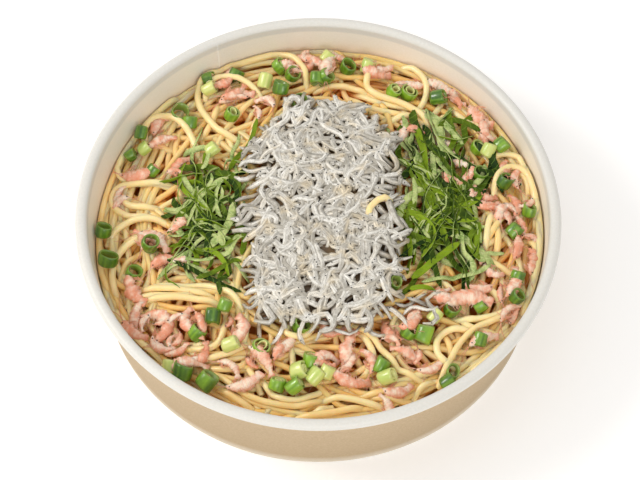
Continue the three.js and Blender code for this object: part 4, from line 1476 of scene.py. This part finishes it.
def mound_height(x, y):
    """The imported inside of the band: rises from its outline, a superellipse, to its full depth."""
    along = (y - fish_centre[1]) / fish_half[1]
    out = (((x - fish_centre[0]) / fish_half[0] / narrowed(along)) ** 4 + along**4) ** 0.25
    return heap_height(x, y) - 0.002 + (MOUND_THICK + 0.002) * smoothstep(1 - out, 0.04, 0.34)


mound_rings = np.linspace(1, 0, MOUND_RINGS)[1:-1]
mound_outline = np.concatenate([
    [[0, SKIRT], [mound_rings[0], SKIRT]],
    np.column_stack([mound_rings, 0 * mound_rings]),
    [[0, 0]],
])
mound_corners, mound_faces = turned(
    mound_outline, np.linspace(0, 2 * np.pi, MOUND_SIDES, endpoint=False)
)
far = np.maximum(np.hypot(*mound_corners[:, :2].T), 1e-9)
squared = np.abs(mound_corners[:, :2] / far[:, None])
stretch = 1 / np.maximum((squared**4).sum(axis=1), 1e-9) ** 0.25
mound_corners[:, :2] *= stretch[:, None] * 0.9
mound_corners[:, 0] *= narrowed(mound_corners[:, 1])
mound_corners[:, :2] = fish_centre + mound_corners[:, :2] * fish_half
mound_x, mound_y, mound_z = mound_corners.T
lumps = 0.0005 * np.sin(mound_x / 0.0019) * np.sin(mound_y / 0.0016 + 1)
mound_corners[:, 2] = np.where(
    mound_z == SKIRT, heap_height(mound_x, mound_y) - 0.004, mound_height(mound_x, mound_y) + lumps
)
pile.ground = np.maximum(pile.ground, mound_height(*pile.grid))

# In pixels of the photograph, and a heading in degrees.
STRAY_FISH = [
    (412, 300, 20), (424, 304, -30), (432, 312, 60), (420, 312, 10), (398, 318, -50),
    (262, 318, 80), (284, 326, 60), (302, 332, 95), (338, 334, 20), (366, 330, -20), (278, 199, 70),
    (322, 247, 15), (318, 243, -35), (347, 300, 50), (309, 287, -40), (256, 196, 20),
]
stray_plan = (on_heap(np.array(STRAY_FISH)[:, :2], lift=0.002) - fish_centre) / fish_half

fish_rng = np.random.default_rng(7)
fish_lines, fish_radii = [], []
for number in range(FISH_COUNT):
    spot = fish_rng.uniform(-1, 1, 2)
    share = fish_rng.uniform(0, 1) ** 0.5 * fish_rng.normal(0.98, 0.03)
    spot *= share / max(1e-6, (spot**4).sum() ** 0.25)
    spot[0] *= narrowed(spot[1])
    length = fish_rng.uniform(0.012, 0.019)
    radius = fish_rng.uniform(0.00088, 0.00138)
    heading = fish_rng.uniform(0, 2 * np.pi)
    if number < len(STRAY_FISH):
        spot, heading = stray_plan[number], np.radians(STRAY_FISH[number][2])
        radius = STRAY_RADIUS
    bend = fish_rng.normal(0, 1.3) * (0.6 if number < len(STRAY_FISH) else 1)
    path = curled(fish_centre + spot * fish_half, heading, length, bend)
    sway = fish_rng.normal(0, 0.0017) * np.sin(np.linspace(0, 2 * np.pi, len(path)))
    path = path + sway[:, None] * leftwards(heading)
    fish_radii.append(radius)
    fish_lines.append(across_heap(
        path, fish_girth * radius * 0.8, stiffness=0.0022, lift=MOUND_THICK + 0.0004, give=0.0024
    ))
fish_middle = np.stack([resampled(line, FISH_STEPS) for line in fish_lines])
fish_radii = np.array(fish_radii)
_, aside, up = directions(fish_middle)
fish_aside, fish_up = rolled_over(aside, up, fish_rng.uniform(-0.6, 0.6, (FISH_COUNT, 1, 1)))
section = circle(FISH_SIDES)
outline = (fish_radii[:, None] * fish_girth)[..., None, None] * section
outline = outline * np.stack([fish_deep, fish_flat], axis=1)[None, :, None]
fish_corners, fish_faces, per_fish = swept(fish_middle, fish_aside, fish_up, outline)
head_half = (fish_radii * fish_girth[FISH_EYE_STEP])[:, None]
eye_corners, eye_faces = eyes_at(np.concatenate([
    fish_middle[:, FISH_EYE_STEP] + way * fish_up[:, FISH_EYE_STEP] * head_half * 0.72
    + fish_aside[:, FISH_EYE_STEP] * head_half * 0.3
    for way in (-1, 1)
]))

flesh = Material(
    "whitebait_flesh", Subsurface_Weight=0.15, Subsurface_Scale=0.0008,
    Subsurface_Radius=(0.9, 0.9, 1.0), Coat_Weight=0.45, Coat_Roughness=0.15,
)
along_fish = flesh.attribute("along")
on_back = flesh.attribute("back")
greyness = flesh.attribute("grey")
cloud = flesh.noise(0.0022, 3.0)
wrinkle = flesh.noise(0.0005, 3.0)
greyer = (cloud * 0.9 + greyness * 0.6).between(0.35, 1.15)
white_flesh = greyer.blend(colour(249, 246, 238), colour(182, 176, 163))
creamy = flesh.noise(0.0065, 2.0).between(0.5, 0.72) * 0.6
creamy = creamy + (1 - greyness.between(0.02, 0.2)) * 0.25
white_flesh = creamy.blend(white_flesh, colour(236, 216, 178))
back_line = on_back.between(0.45, 0.95) * wrinkle.between(0.3, 0.65)
side_line = (1 - ((on_back - 0.1) ** 2).between(0.0, 0.03)) * cloud.between(0.35, 0.6)
streaks = (on_back * 8 + wrinkle * 6).applied("SINE").between(0.3, 1.0)
white_flesh = (streaks * 0.46).blend(white_flesh, colour(130, 121, 103))
white_flesh = (back_line * 0.65 + side_line * 0.35).blend(white_flesh, colour(108, 104, 96))
white_flesh = (along_fish.between(0.75, 1.0) * 0.4).blend(white_flesh, colour(190, 178, 150))
# painted shade: fish that lie under others are painted darker and browner
white_flesh = (flesh.attribute("depth") * 0.9).blend(white_flesh, colour(128, 98, 60))
segment = (along_fish * 240).applied("SINE")
flesh.drive(
    Base_Color=flesh.attribute("dark").between(0.4, 0.6).blend(white_flesh, colour(18, 18, 20)),
    Roughness=0.3 + wrinkle * 0.25,
)
flesh.bump(wrinkle * 0.6 + cloud * 0.4 + segment * 0.15, 0.00018)

# the mound is painted greyest and in full painted shade
plain = {"along": 0.4, "back": 0, "grey": 1, "dark": 0, "depth": 1}
mesh_piece(
    "whitebait_core", mound_corners, mound_faces, flesh, "whitebait",
    **{label: np.full(len(mound_corners), value) for label, value in plain.items()},
)
all_corners, all_faces = joined((fish_corners, fish_faces), (eye_corners, eye_faces))
# depth under the pile's top, for painted shade
fish_depth = (pile.height(*all_corners[:, :2].T) - SHADE_FROM - all_corners[:, 2]) / SHADE_OVER
eyes = len(eye_corners)
mesh_piece(
    "whitebait_fish", all_corners, all_faces, flesh, "whitebait", ["whitebait"],
    along=then(np.tile(np.append(np.repeat(fish_run, FISH_SIDES), [0, 1]), FISH_COUNT), 0, eyes),
    back=then(np.tile(np.append(np.tile(section[:, 0], FISH_STEPS), [0, 0]), FISH_COUNT), 0, eyes),
    grey=then(np.repeat(fish_rng.uniform(0, 1, FISH_COUNT), per_fish), 0, eyes),
    dark=then(np.zeros(len(fish_corners)), 1, eyes), depth=fish_depth.clip(0, 1),
)

# ---------------------------------------------------------------- strand over the whitebait
# One short end of the same spaghetti, dropped last. It rests on the whitebait, and both its ends
# dip in between the fish.

THREAD_LINE = [(367, 220), (370, 211), (377, 204), (385, 201), (392, 203)]
thread_plan = evenly(on_heap(THREAD_LINE, MOUND_THICK), PLAN_STEP)
thread = across_heap(
    thread_plan, STRAND, stiffness=0.003, lift=MOUND_THICK + 0.001, give=0.003
)
thread_run = np.linspace(0, 1, len(thread))
thread[:, 2] -= 0.003 * (1 - smoothstep(np.minimum(thread_run, 1 - thread_run), 0, 0.22))
strands_piece("strand_over_whitebait", [thread], steps=40, sides=10, golden=0.15)
